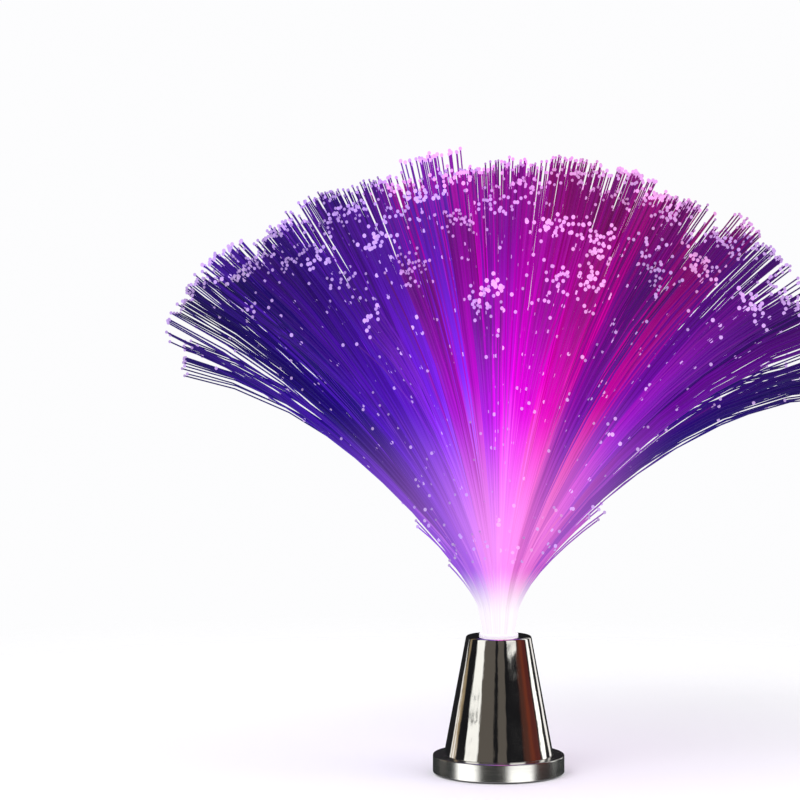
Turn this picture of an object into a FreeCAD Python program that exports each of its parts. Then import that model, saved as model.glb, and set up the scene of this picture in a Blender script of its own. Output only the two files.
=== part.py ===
import FreeCAD, Part
import math
import os

import Sketcher
from FreeCAD import Placement, Rotation, Vector

# A battery-powered fibre optic lamp: a chrome cone standing in a satin ring, and a plug-in spray of
# plastic fibres lit from below by three light-emitting diodes. All sizes are in millimetres.
# The origin is the centre of the footprint on the table, +Z is up, and the front faces -Y.

doc = FreeCAD.newDocument("FibreOpticLamp")

# ---------------------------------------------------------------------------- driving dimensions

DRIVING_SIZES = {
    # outer casing
    "ring_step": 6.35,
    "ring_height": 10.0,
    "ring_wall": 2.0,
    "ring_lip": 1.6,
    "rim_gap": 0.8,
    "ring_edge": 0.6,
    "cone_top_dia": 37.0,
    "body_height": 78.5,
    "cone_wall": 1.6,
    "cone_edge": 0.5,
    "top_wall": 2.0,
    "spigot_wall": 0.85,
    "spigot_depth": 1.9,
    "sleeve_wall": 1.4,
    # bottom plate and what stands on it
    "plate_gap": 1.2,
    "plate_thick": 2.2,
    "ledge_width": 1.2,
    "seat_clear": 0.2,
    "foot_dia": 7.0,
    "foot_inset": 0.5,
    "boss_dia": 6.0,
    "boss_bite": 0.04,
    "boss_gap": 0.8,
    "boss_top": 18.0,
    # screws
    "screw_dia": 2.6,
    "screw_head": 5.2,
    "head_thick": 1.0,
    "screw_long": 11.6,
    "screw_clear": 0.1,
    "shank_play": 0.4,
    "board_screw_dia": 1.8,
    "board_screw_head": 3.2,
    "board_head_thick": 0.8,
    "board_screw_long": 4.4,
    "tip_room": 1.2,
    # battery bay
    "cell_dia": 10.5,
    "cell_long": 44.5,
    "cell_gap": 0.2,
    "nub_dia": 3.8,
    "nub_long": 1.0,
    "bay_wall": 1.2,
    "bay_roof": 1.1,
    "bay_side_gap": 0.25,
    "bay_play": 0.27,
    "spring_long": 1.9,
    "spring_wire": 0.5,
    "spring_dia": 6.0,
    "spring_tip_dia": 3.4,
    "contact_thick": 0.4,
    "contact_wide": 6.6,
    "contact_high": 8.0,
    "tag_wide": 2.4,
    "tag_high": 3.0,
    # battery door
    "door_thick": 1.8,
    "door_ledge": 1.2,
    "door_gap": 0.2,
    "door_boss_sink": 0.4,
    "door_screw_long": 4.0,
    "door_screw_play": 0.8,
    "door_boss_high": 5.0,
    "tongue_wide": 12.0,
    "pin_dia": 1.0,
    "pin_clear": 0.08,
    "pin_reach": 1.8,
    # power switch
    "switch_gap": 2.7,
    "switch_wide": 5.0,
    "switch_long": 9.5,
    "switch_high": 4.6,
    "ear_reach": 4.45,
    "ear_end": 2.0,
    "stake_dia": 1.6,
    "stake_clear": 0.1,
    "stake_high": 1.0,
    "frame_thick": 0.5,
    "knob_wide": 2.6,
    "knob_long": 3.2,
    "knob_travel": 3.0,
    "knob_drop": 2.6,
    "knob_clear": 0.2,
    "slider_rim": 0.5,
    "slider_thick": 1.1,
    "dish_wide": 6.4,
    "dish_long": 11.2,
    "dish_deep": 0.8,
    "blade_wide": 1.25,
    "blade_thick": 0.25,
    # light engine
    "board_rim": 1.2,
    "board_thick": 1.6,
    "board_foot_sink": 0.8,
    "board_foot_dia": 4.8,
    "board_foot_high": 6.0,
    "led_dia": 5.0,
    "led_high": 8.6,
    "led_gap": 3.2,
    "led_rim": 0.4,
    "led_rim_thick": 1.0,
    "led_space": 1.65,
    "lead_wide": 0.5,
    "lead_pitch": 2.54,
    "chip_wide": 5.1,
    "resistor_long": 3.0,
    "resistor_wide": 1.5,
    "resistor_high": 0.5,
    "resistor_pitch": 5.2,
    "wire_dia": 1.3,
    "wire_inset": 3.5,
    "wire_rise": 4.6,
    "wire_over": 2.5,
    "wire_drop": 5.6,
    # fibre spray
    "collar_dia": 20.0,
    "collar_hole_gap": 0.2,
    "collar_lip_wide": 1.1,
    "collar_lip": 1.4,
    "collar_wall": 1.0,
    "collar_long": 23.5,
    "collar_edge": 0.4,
    "window_thick": 2.0,
    "window_clear": 0.05,
    "fibre_dia": 1.2,
    "fibre_rise": 277.1,
    "bend_radius": 66.0,
    "fibre_clear": 0.1,
    "outer_tilt": 47.5,
}

FIBRES_IN_RING = [6, 12, 18, 24, 36]  # the rings of fibres around the centre one
FIBRE_SIDES = 4  # fibres are drawn as square rods, which keeps the spray light to handle
BEND_STEPS = 2  # straight steps in the bend of each fibre
# each ring mixes three cuts of fibre: (degrees of tilt lost at the outer ring, share of the length)
FIBRE_CUTS = [(0.0, 1.0), (3.2, 0.93), (1.6, 0.86)]
OUTER_SHORTENING = 0.03  # the outermost fibres are this share shorter than the centre one
LED_COLOURS = ["red", "green", "blue"]
SMALL_SIDES = 12  # small round things that repeat have this many sides
SHANK_SIDES = 8
CELL_SIDES = 24
COIL_STEPS = 6  # straight steps in each turn of a battery spring
WIRE_TRIM = 0.45  # the arcs of a wire take up to this share of each run


def make_sheet():
    """The spreadsheet with one named cell for each driving dimension."""
    sheet = doc.addObject("Spreadsheet::Sheet", "Sizes")
    for row, (name, value) in enumerate(DRIVING_SIZES.items(), start=1):
        sheet.set(f"A{row}", name)
        sheet.set(f"B{row}", str(value))
        sheet.setAlias(f"B{row}", name)
    doc.recompute()
    return sheet


class Size:
    """A size that holds its present number and the expression that ties it to the sheet."""

    def __init__(self, value, text):
        self.value = value
        self.text = text

    def __add__(self, other):
        return Size(self.value + number(other), f"({self.text} + {words(other)})")

    __radd__ = __add__

    def __sub__(self, other):
        return Size(self.value - number(other), f"({self.text} - {words(other)})")

    def __rsub__(self, other):
        return Size(number(other) - self.value, f"({words(other)} - {self.text})")

    def __mul__(self, other):
        return Size(self.value * number(other), f"({self.text} * {words(other)})")

    __rmul__ = __mul__

    def __truediv__(self, other):
        return Size(self.value / number(other), f"({self.text} / {words(other)})")

    def __neg__(self):
        return Size(-self.value, f"(0 - {self.text})")


def number(size):
    return size.value if isinstance(size, Size) else float(size)


def words(size):
    return size.text if isinstance(size, Size) else f"({float(size):.9g})"


def sine(angle):
    """The sine of a Size in degrees."""
    return Size(math.sin(math.radians(angle.value)), f"sin({angle.text} * 1 deg)")


def cosine(angle):
    """The cosine of a Size in degrees."""
    return Size(math.cos(math.radians(angle.value)), f"cos({angle.text} * 1 deg)")


def diagonal(across, along):
    """The distance to a place that lies this far across and along."""
    text = f"sqrt({across.text} * {across.text} + {along.text} * {along.text})"
    return Size(math.hypot(across.value, along.value), text)


def other_side(reach, along):
    """How far across a place lies that is at this reach and this far along."""
    text = f"sqrt({reach.text} * {reach.text} - {along.text} * {along.text})"
    return Size(math.sqrt(reach.value**2 - along.value**2), text)


def larger(one, other):
    return Size(max(one.value, other.value), f"max({one.text}; {other.text})")


def derive(name, size):
    """Keeps a size that follows from others as a named property, for the rest to refer to."""
    followed.addProperty("App::PropertyFloat", name)
    setattr(followed, name, size.value)
    followed.setExpression(name, size.text)
    return Size(size.value, f"Followed.{name}")


def cell(name):
    return Size(float(sizes.get(name)), f"Sizes.{name}")


def bind(thing, prop, size):
    """Sets a property to a size, through an expression where the size comes from the sheet."""
    if isinstance(size, Size):
        thing.setExpression(prop, size.text)
    else:
        setattr(thing, prop, size)


# ---------------------------------------------------------------------------- modelling helpers


def new_body(name, many=False):
    """A PartDesign body; with many, it may hold several solids that don't touch."""
    body = doc.addObject("PartDesign::Body", name)
    body.Label = name
    body.AllowCompound = many
    return body


def new_sketch(body, name, role="XY_Plane", height=0):
    """A sketch on one of the body's own planes, raised by height along the plane's normal."""
    plane = next(f for f in body.Origin.OriginFeatures if f.Role == role)
    sketch = body.newObject("Sketcher::SketchObject", name)
    sketch.AttachmentSupport = [(plane, "")]
    sketch.MapMode = "FlatFace"
    sketch.AttachmentOffset = Placement(Vector(0, 0, number(height)), Rotation())
    if isinstance(height, Size):
        sketch.setExpression(".AttachmentOffset.Base.z", height.text)
    return sketch


def tie(sketch, rules):
    """Adds dimensions to a sketch, each (kind, geometry, size, label), and ties them to the sheet."""
    added = sketch.addConstraint([Sketcher.Constraint(k, *g, number(size)) for k, g, size, _ in rules])
    for index, (_, _, size, label) in zip(added, rules):
        if isinstance(size, Size):
            sketch.renameConstraint(index, label)
            sketch.setExpression(f"Constraints.{label}", size.text)


def draw_run(sketch, points, closed=True, label="p"):
    """Straight lines through points, each point tied to the sheet."""
    spots = [Vector(number(x), number(y), 0) for x, y in points]
    last = len(points) if closed else len(points) - 1
    sides = [Part.LineSegment(spots[i], spots[(i + 1) % len(spots)]) for i in range(last)]
    lines = sketch.addGeometry(sides)
    joints = list(zip(lines, lines[1:]))
    if closed:
        joints.append((lines[-1], lines[0]))
    sketch.addConstraint([Sketcher.Constraint("Coincident", a, 2, b, 1) for a, b in joints])
    rules = []
    for i, (x, y) in enumerate(points):
        line, end = (lines[i], 1) if i < last else (lines[-1], 2)
        rules.append(("DistanceX", (-1, 1, line, end), x, f"{label}_across_{i}"))
        rules.append(("DistanceY", (-1, 1, line, end), y, f"{label}_up_{i}"))
    tie(sketch, rules)


def draw_box(sketch, x0, x1, y0, y1, label="box"):
    draw_run(sketch, [(x0, y0), (x1, y0), (x1, y1), (x0, y1)], label=label)


def draw_circle(sketch, x, y, dia, label="circle"):
    middle = Vector(number(x), number(y), 0)
    index = sketch.addGeometry(Part.Circle(middle, Vector(0, 0, 1), number(dia) / 2))
    centre = (-1, 1, index, 3)
    rules = [
        ("Diameter", (index,), dia, f"{label}_dia"),
        ("DistanceX", centre, x, f"{label}_x"),
        ("DistanceY", centre, y, f"{label}_y"),
    ]
    tie(sketch, rules)


def draw_polygon(sketch, x, y, dia, sides, label):
    """A regular polygon with its corners on a circle of this diameter."""
    turns = [2 * math.pi * i / sides for i in range(sides)]
    draw_run(sketch, [(x + dia / 2 * math.cos(a), y + dia / 2 * math.sin(a)) for a in turns], label=label)


def revolve(body, name, points):
    """A solid of revolution about Z from an outline given as (radius, height) points."""
    sketch = new_sketch(body, name + "_outline", "XZ_Plane")
    draw_run(sketch, points)
    turn = body.newObject("PartDesign::Revolution", name)
    turn.Profile = sketch
    turn.ReferenceAxis = (sketch, ["V_Axis"])
    turn.Angle = 360
    body.Tip = turn
    doc.recompute()


def pad(body, name, bottom, height, draw, plane="XY_Plane"):
    """Adds a prism that starts at bottom, measured along the plane's normal."""
    sketch = new_sketch(body, name + "_outline", plane, bottom)
    draw(sketch)
    feature = body.newObject("PartDesign::Pad", name)
    feature.Profile = sketch
    bind(feature, "Length", height)
    body.Tip = feature
    doc.recompute()


def pocket(body, name, bottom, depth, draw, plane="XY_Plane"):
    """Cuts a prism from bottom along the plane's normal, and makes sure that it cut something."""
    before = body.Shape.Volume
    sketch = new_sketch(body, name + "_outline", plane, bottom)
    draw(sketch)
    feature = body.newObject("PartDesign::Pocket", name)
    feature.Profile = sketch
    bind(feature, "Length", depth)
    feature.Reversed = True
    body.Tip = feature
    doc.recompute()
    if body.Shape.Volume > before - 1e-3:
        raise RuntimeError(f"{name} cuts nothing")


def chamfer(body, name, radius, height, size):
    """Breaks the round edge about Z that has this radius and height."""
    edges = []
    for i, edge in enumerate(body.Tip.Shape.Edges, start=1):
        curve = edge.Curve
        if not isinstance(curve, Part.Circle) or abs(curve.Axis.z) < 0.99:
            continue
        if abs(curve.Radius - radius.value) < 0.01 and abs(curve.Center.z - height.value) < 0.01:
            edges.append(f"Edge{i}")
    before = body.Tip
    feature = body.newObject("PartDesign::Chamfer", name)
    feature.Base = (before, edges)
    bind(feature, "Size", size)
    body.Tip = feature
    doc.recompute()


def circles(spots, dia):
    """A drawing of equal circles at these places."""

    def draw(sketch):
        for i, (x, y) in enumerate(spots):
            draw_circle(sketch, x, y, dia, f"round_{i}")

    return draw


def polygons(spots, dia, sides):
    """A drawing of equal regular polygons at these places."""

    def draw(sketch):
        for i, (x, y) in enumerate(spots):
            draw_polygon(sketch, x, y, dia, sides, f"flat_{i}")

    return draw


def boxes(spans):
    """A drawing of rectangles, each given as its two x and its two y limits."""

    def draw(sketch):
        for i, (x0, x1, y0, y1) in enumerate(spans):
            draw_box(sketch, x0, x1, y0, y1, f"box_{i}")

    return draw


def group(name, shapes):
    """A node made of one solid, or of several that lie apart."""
    feature = doc.addObject("Part::Feature", name)
    feature.Label = name
    feature.Shape = shapes[0] if len(shapes) == 1 else Part.Compound(shapes)


# ---------------------------------------------------------------------------- shared places

sizes = make_sheet()
followed = doc.addObject("App::VarSet", "Followed")

under = cell("plate_gap")
plate_top = under + cell("plate_thick")
ring_top = cell("rim_gap") + cell("ring_height")

# the battery bay, and the walls of the tub around it
cell_pitch = cell("cell_dia") + cell("cell_gap")
cell_columns = [cell_pitch * side for side in (-1, 0, 1)]
cell_turns = [1, -1, 1]  # +1 where a cell's positive end is at +Y
bay_half_wide = derive("bay_half_wide", cell_pitch + cell("cell_dia") / 2 + cell("bay_side_gap"))
contact_face = derive("contact_face", (cell("cell_long") + cell("spring_long")) / 2)
bay_half_long = derive("bay_half_long", contact_face + cell("contact_thick"))
door_top = under + cell("door_thick")
cell_height = derive("cell_height", door_top + cell("cell_gap") + cell("cell_dia") / 2)
bay_top = derive("bay_top", cell_height + cell("cell_dia") / 2 + cell("cell_gap"))
tag_top = bay_top + cell("tag_high")
plates_reach = cell_pitch + cell("contact_wide") / 2
bay_corner = (bay_half_wide - plates_reach - cell("cell_gap"), cell("nub_long") + cell("contact_thick"))
tub_half_wide = derive("tub_half_wide", bay_half_wide + cell("bay_wall"))
tub_half_long = derive("tub_half_long", bay_half_long + cell("bay_wall"))
tub_corner_across = derive("tub_corner_across", bay_corner[0] + cell("bay_wall") + cell("cell_gap"))
tub_corner_along = derive("tub_corner_along", bay_corner[1] + cell("bay_wall") - cell("cell_gap"))

# the casing: the cone just clears the corners of the tub, and the ring stands out from the cone
end_corner = derive("end_corner", diagonal(tub_half_wide - tub_corner_across, tub_half_long))
side_corner = derive("side_corner", diagonal(tub_half_wide, tub_half_long - tub_corner_along))
tub_reach = larger(end_corner, side_corner) + cell("bay_play")
cone_top = cell("cone_top_dia") / 2
rise_share = (bay_top + cell("bay_roof") - ring_top) / (cell("body_height") - ring_top)
cone_foot_room = tub_reach + cell("cone_wall") - cone_top * rise_share
cone_foot = derive("cone_foot", cone_foot_room / (1 - rise_share))
cone_inner_foot = cone_foot - cell("cone_wall")
spigot_radius = cone_inner_foot + cell("spigot_wall")
ring_radius = derive("ring_radius", cone_foot + cell("ring_step"))
ring_inner = ring_radius - cell("ring_wall")
plate_radius = ring_inner - cell("seat_clear")
foot_reach = (plate_radius - cell("foot_inset") - cell("foot_dia") / 2) * math.sqrt(0.5)
foot_spots = [(foot_reach * sx, foot_reach * sy) for sx in (-1, 1) for sy in (-1, 1)]

# the collar in its sleeve, and the lamp board that the sleeve stands on
collar_bore = cell("collar_dia") / 2 - cell("collar_wall")
collar_lip = cell("collar_dia") / 2 + cell("collar_lip_wide")
collar_bottom = cell("body_height") - cell("collar_long")
collar_top = cell("body_height") + cell("collar_lip")
window_top = collar_bottom + cell("window_thick")
sleeve_bore = cell("collar_dia") / 2 + cell("collar_hole_gap")
sleeve_outer = sleeve_bore + cell("sleeve_wall")
board_top = derive("board_top", collar_bottom - cell("led_gap") - cell("led_high"))
board_bottom = board_top - cell("board_thick")
board_screw_y = derive("board_screw_y", sleeve_outer + cell("board_foot_dia") / 2 - cell("board_foot_sink"))
board_radius = derive("board_radius", board_screw_y + cell("board_screw_head") / 2 + cell("board_rim"))
board_screw_spots = [(0, board_screw_y * side) for side in (-1, 1)]
ring_pitch = (collar_bore - cell("fibre_clear") - cell("fibre_dia") / 2) / len(FIBRES_IN_RING)

# the battery door with its screw and hinge
door_half_wide = bay_half_wide + cell("door_ledge")
door_half_long = bay_half_long + cell("door_ledge")
hinge_y = cell("door_thick") / 2 - door_half_long
hinge_z = under + cell("door_thick") / 2
door_screw_y = derive("door_screw_y", tub_half_long + cell("boss_dia") / 2 - cell("door_boss_sink"))
door_screw_spot = [(0, door_screw_y)]
tongue_end = door_screw_y + cell("boss_dia") / 2
pin_end = door_half_wide + cell("door_gap") + cell("pin_reach")

# the switch beside the tub, and the screw bosses beyond its ears
switch_x = derive("switch_x", tub_half_wide + cell("switch_gap") + cell("switch_wide") / 2)
ears_half = cell("switch_long") / 2 + cell("ear_reach")
stake_spots = [(switch_x, (ears_half - cell("ear_end")) * side) for side in (-1, 1)]
boss_along = derive("boss_along", ears_half + cell("boss_gap") + cell("boss_dia") / 2)
boss_reach = derive("boss_reach", cone_inner_foot + cell("boss_bite") - cell("boss_dia") / 2)
boss_across = derive("boss_across", other_side(boss_reach, boss_along))
boss_spots = [(boss_across * sx, boss_along * sy) for sx in (-1, 1) for sy in (-1, 1)]

frame_top = plate_top + cell("frame_thick")
case_top = plate_top + cell("switch_high")
knob_half_wide = cell("knob_wide") / 2
knob_half_long = cell("knob_long") / 2
slot_half_long = knob_half_long + cell("knob_travel") / 2 + cell("knob_clear")


def around(x, half_x, y, half_y):
    """The limits of a rectangle about a centre."""
    return (x - half_x, x + half_x, y - half_y, y + half_y)


# ---------------------------------------------------------------------------- outer casing


def make_base_ring():
    """Satin ring: a skirt, a lip that the cone stands on and a step that the plate pulls up to."""
    body = new_body("base_ring")
    step = ring_inner - cell("ledge_width")
    hole = spigot_radius + cell("seat_clear")
    lip_under = ring_top - cell("ring_lip")
    outline = [
        (ring_inner, cell("rim_gap")),
        (ring_radius, cell("rim_gap")),
        (ring_radius, ring_top),
        (hole, ring_top),
        (hole, lip_under),
        (step, lip_under),
        (step, plate_top),
        (ring_inner, plate_top),
    ]
    revolve(body, "ring_turned", outline)
    chamfer(body, "ring_edge_broken", ring_radius, ring_top, cell("ring_edge"))


def make_chrome_cone():
    """Chrome cone: a tapered shell with a spigot, four screw bosses and the sleeve for the spray."""
    body = new_body("chrome_cone")
    height = cell("body_height")
    ceiling = height - cell("top_wall")
    taper = (cone_foot - cone_top) / (height - ring_top)
    ceiling_radius = cone_top + taper * cell("top_wall") - cell("cone_wall")
    spigot_end = ring_top - cell("spigot_depth")
    outline = [
        (cone_inner_foot, spigot_end),
        (spigot_radius, spigot_end),
        (spigot_radius, ring_top),
        (cone_foot, ring_top),
        (cone_top, height),
        (sleeve_bore, height),
        (sleeve_bore, board_top),
        (sleeve_outer, board_top),
        (sleeve_outer, ceiling),
        (ceiling_radius, ceiling),
        (cone_inner_foot, ring_top),
    ]
    revolve(body, "cone_turned", outline)
    chamfer(body, "cone_edge_broken", cone_top, height, cell("cone_edge"))
    boss_high = cell("boss_top") - plate_top
    pad(body, "housing_bosses", plate_top, boss_high, circles(boss_spots, cell("boss_dia")))
    pilot = polygons(boss_spots, cell("screw_dia") + cell("screw_clear") * 2, SHANK_SIDES)
    pocket(body, "housing_pilots", plate_top, cell("screw_long"), pilot)
    feet = circles(board_screw_spots, cell("board_foot_dia"))
    pad(body, "board_feet", board_top, cell("board_foot_high"), feet)
    foot_dia = cell("board_screw_dia") + cell("screw_clear") * 2
    foot_pilot = polygons(board_screw_spots, foot_dia, SHANK_SIDES)
    pocket(body, "board_pilots", board_top, cell("board_screw_long"), foot_pilot)


def cut_corner_box(half_x, half_y, corner_x, corner_y):
    """A drawing of a rectangle about the axis with its corners cut, to stay inside the cone."""
    side = [(half_x, corner_y - half_y), (half_x, half_y - corner_y)]
    end = [(half_x - corner_x, half_y), (corner_x - half_x, half_y)]
    far_side = [(-half_x, half_y - corner_y), (-half_x, corner_y - half_y)]
    far_end = [(corner_x - half_x, -half_y), (half_x - corner_x, -half_y)]
    return lambda sketch: draw_run(sketch, side + end + far_side + far_end)


def make_bottom_plate():
    """Black plate: closes the ring, and holds the battery bay, the door's seat and the switch."""
    body = new_body("bottom_plate")
    pad(body, "plate", under, cell("plate_thick"), circles([(0, 0)], plate_radius * 2))
    tub = cut_corner_box(tub_half_wide, tub_half_long, tub_corner_across, tub_corner_along)
    pad(body, "bay_walls", plate_top, bay_top + cell("bay_roof") - plate_top, tub)
    boss = circles(door_screw_spot, cell("boss_dia"))
    pad(body, "door_boss", plate_top, cell("door_boss_high"), boss)
    stakes = polygons(stake_spots, cell("stake_dia"), SHANK_SIDES)
    pad(body, "switch_stakes", plate_top, cell("stake_high"), stakes)

    bay = cut_corner_box(bay_half_wide, bay_half_long, *bay_corner)
    pocket(body, "bay", under, bay_top - under, bay)
    slit_wide = cell("tag_wide") / 2 + cell("cell_gap")
    slit_thick = cell("contact_thick") / 2 + cell("cell_gap") / 2
    tag_y = contact_face + cell("contact_thick") / 2
    tag_spots = [(cell_columns[0], tag_y), (cell_columns[2], -tag_y)]
    slits = [around(x, slit_wide, y, slit_thick) for x, y in tag_spots]
    pocket(body, "tag_slits", bay_top, cell("bay_roof"), boxes(slits))

    gap = cell("door_gap")
    seat_deep = cell("door_thick") + gap / 2
    seat = [around(0, door_half_wide + gap, 0, door_half_long + gap)]
    pocket(body, "door_seat", under, seat_deep, boxes(seat))
    half_tongue = cell("tongue_wide") / 2 + gap
    tongue = [(-half_tongue, half_tongue, door_half_long, tongue_end + gap)]
    pocket(body, "tongue_seat", under, seat_deep, boxes(tongue))
    pin_hole_end = pin_end + gap
    pin_hole = circles([(hinge_y, hinge_z)], cell("pin_dia") + cell("pin_clear") * 2)
    pocket(body, "pin_holes", -pin_hole_end, pin_hole_end * 2, pin_hole, "YZ_Plane")

    head_deep = cell("head_thick") + gap
    heads = polygons(boss_spots, cell("screw_head") + gap * 2, SMALL_SIDES)
    pocket(body, "head_recesses", under, head_deep, heads)
    shanks = polygons(boss_spots, cell("screw_dia") + cell("shank_play"), SMALL_SIDES)
    pocket(body, "screw_holes", under, cell("plate_thick"), shanks)
    door_hole = circles(door_screw_spot, cell("screw_dia") + cell("door_screw_play"))
    door_hole_deep = cell("head_thick") + cell("door_screw_long") + cell("tip_room")
    pocket(body, "door_screw_hole", under, door_hole_deep, door_hole)

    x = switch_x
    dish = [around(x, cell("dish_wide") / 2, 0, cell("dish_long") / 2)]
    pocket(body, "finger_dish", under, cell("dish_deep"), boxes(dish))
    slot = [around(x, knob_half_wide + cell("knob_clear"), 0, slot_half_long)]
    pocket(body, "switch_slot", under, cell("plate_thick"), boxes(slot))


def make_battery_door():
    """Battery door: a cover with a screw tongue at one end, and a rolled edge on two pins."""
    body = new_body("battery_door")
    thick = cell("door_thick")
    cover = [(-door_half_wide, door_half_wide, hinge_y, door_half_long)]
    pad(body, "cover", under, thick, boxes(cover))
    half_tongue = cell("tongue_wide") / 2
    tongue = [(-half_tongue, half_tongue, hinge_y, tongue_end)]
    pad(body, "tongue", under, thick, boxes(tongue))
    hinge = [(hinge_y, hinge_z)]
    pad(body, "rolled_edge", -door_half_wide, door_half_wide * 2, circles(hinge, thick), "YZ_Plane")
    pad(body, "pins", -pin_end, pin_end * 2, circles(hinge, cell("pin_dia")), "YZ_Plane")
    head = circles(door_screw_spot, cell("screw_head") + cell("door_gap"))
    pocket(body, "head_recess", under, cell("head_thick"), head)
    shank = circles(door_screw_spot, cell("screw_dia") + cell("screw_clear") * 2)
    pocket(body, "shank_hole", under, thick, shank)
    first = door_half_long - cell("door_ledge") * 2
    grooves = [around(0, half_tongue, first - thick * i, thick / 4) for i in range(4)]
    pocket(body, "grip_grooves", under, thick / 4, boxes(grooves))


def make_foot_pads():
    """Four soft feet stuck under the plate; the lamp stands on them."""
    body = new_body("foot_pads", many=True)
    pad(body, "discs", 0, under, polygons(foot_spots, cell("foot_dia"), SMALL_SIDES))


def make_screws(name, spots, seat, head_dia, head_thick, shank_dia, long):
    """Screws driven upwards, their heads below the height seat."""
    body = new_body(name, many=len(spots) > 1)
    pad(body, name + "_heads", seat - head_thick, head_thick, polygons(spots, head_dia, SMALL_SIDES))
    pad(body, name + "_shanks", seat, long, polygons(spots, shank_dia, SHANK_SIDES))


def make_all_screws():
    head = cell("head_thick")
    size = (cell("screw_head"), head, cell("screw_dia"))
    housing_seat = under + head + cell("door_gap")
    make_screws("housing_screws", boss_spots, housing_seat, *size, cell("screw_long"))
    make_screws("door_screw", door_screw_spot, under + head, *size, cell("door_screw_long"))
    small = (cell("board_screw_head"), cell("board_head_thick"), cell("board_screw_dia"))
    make_screws("board_screws", board_screw_spots, board_bottom, *small, cell("board_screw_long"))


# ---------------------------------------------------------------------------- battery power


def make_batteries():
    """Three AAA cells side by side, each turned end for end from its neighbour."""
    can_long = cell("cell_long") - cell("nub_long")
    can = polygons([(0, 0)], cell("cell_dia"), CELL_SIDES)
    nub = polygons([(0, 0)], cell("nub_dia"), SMALL_SIDES)
    for i, (x, turn) in enumerate(zip(cell_columns, cell_turns), start=1):
        body = new_body(f"battery_{i}")
        pad(body, f"can_{i}", 0, can_long, can)
        pad(body, f"nub_{i}", can_long, cell("nub_long"), nub)
        flat_end = (contact_face - cell("cell_long")) * turn
        lie_down = Rotation(Vector(0, 0, 1), Vector(0, turn, 0))
        body.Placement = Placement(Vector(x.value, flat_end.value, cell_height.value), lie_down)
        body.setExpression(".Placement.Base.x", x.text)
        body.setExpression(".Placement.Base.y", flat_end.text)
        body.setExpression(".Placement.Base.z", cell_height.text)


def make_contacts():
    """Sheet-metal contacts: two bridges between neighbours, and two single ones with a tag."""
    half = cell("contact_wide") / 2
    plates = []
    for end, first, last in ((1, 0, 0), (1, 1, 2), (-1, 0, 1), (-1, 2, 2)):
        faces = sorted((contact_face * end, bay_half_long * end), key=number)
        plates.append((cell_columns[first] - half, cell_columns[last] + half, *faces))
    tag = cell("tag_wide") / 2
    tags = []
    for end, column in ((1, 0), (-1, 2)):
        faces = sorted((contact_face * end, bay_half_long * end), key=number)
        tags.append((cell_columns[column] - tag, cell_columns[column] + tag, *faces))
    body = new_body("contact_plates", many=True)
    low = cell_height - cell("contact_high") / 2
    pad(body, "plates", low, cell("contact_high"), boxes(plates))
    pad(body, "tags", cell_height, tag_top - cell_height, boxes(tags))


def make_springs():
    """Conical springs between each cell's flat end and its contact."""
    wire = cell("spring_wire").value
    wide = (cell("spring_dia").value - wire) / 2
    narrow = (cell("spring_tip_dia").value - wire) / 2
    end_room = wire * 0.64  # half the wire, and a little for the slant of the end turns
    rise = cell("spring_long").value - end_room * 2
    steps = COIL_STEPS * 2
    spots = []
    for i in range(steps + 1):
        share = i / steps
        reach = wide + (narrow - wide) * share
        angle = 2 * math.pi * i / COIL_STEPS
        spots.append(Vector(reach * math.cos(angle), reach * math.sin(angle), end_room + rise * share))
    heading = (spots[1] - spots[0]).normalize()
    upright = Vector(0, 0, 1)
    sideways = heading.cross(upright).normalize() * (wire / 2)
    upwards = sideways.cross(heading).normalize() * (wire / 2)
    corners = [sideways + upwards, upwards - sideways, -sideways - upwards, sideways - upwards]
    section = Part.makePolygon([spots[0] + c for c in corners + corners[:1]])
    coil = Part.makePolygon(spots).makePipeShell([section], True, False, 1)
    springs = []
    for x, turn in zip(cell_columns, cell_turns):
        one = coil.copy()
        seat = Vector(x.value, -contact_face.value * turn, cell_height.value)
        one.Placement = Placement(seat, Rotation(upright, Vector(0, turn, 0)))
        springs.append(one)
    group("battery_springs", springs)


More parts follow.
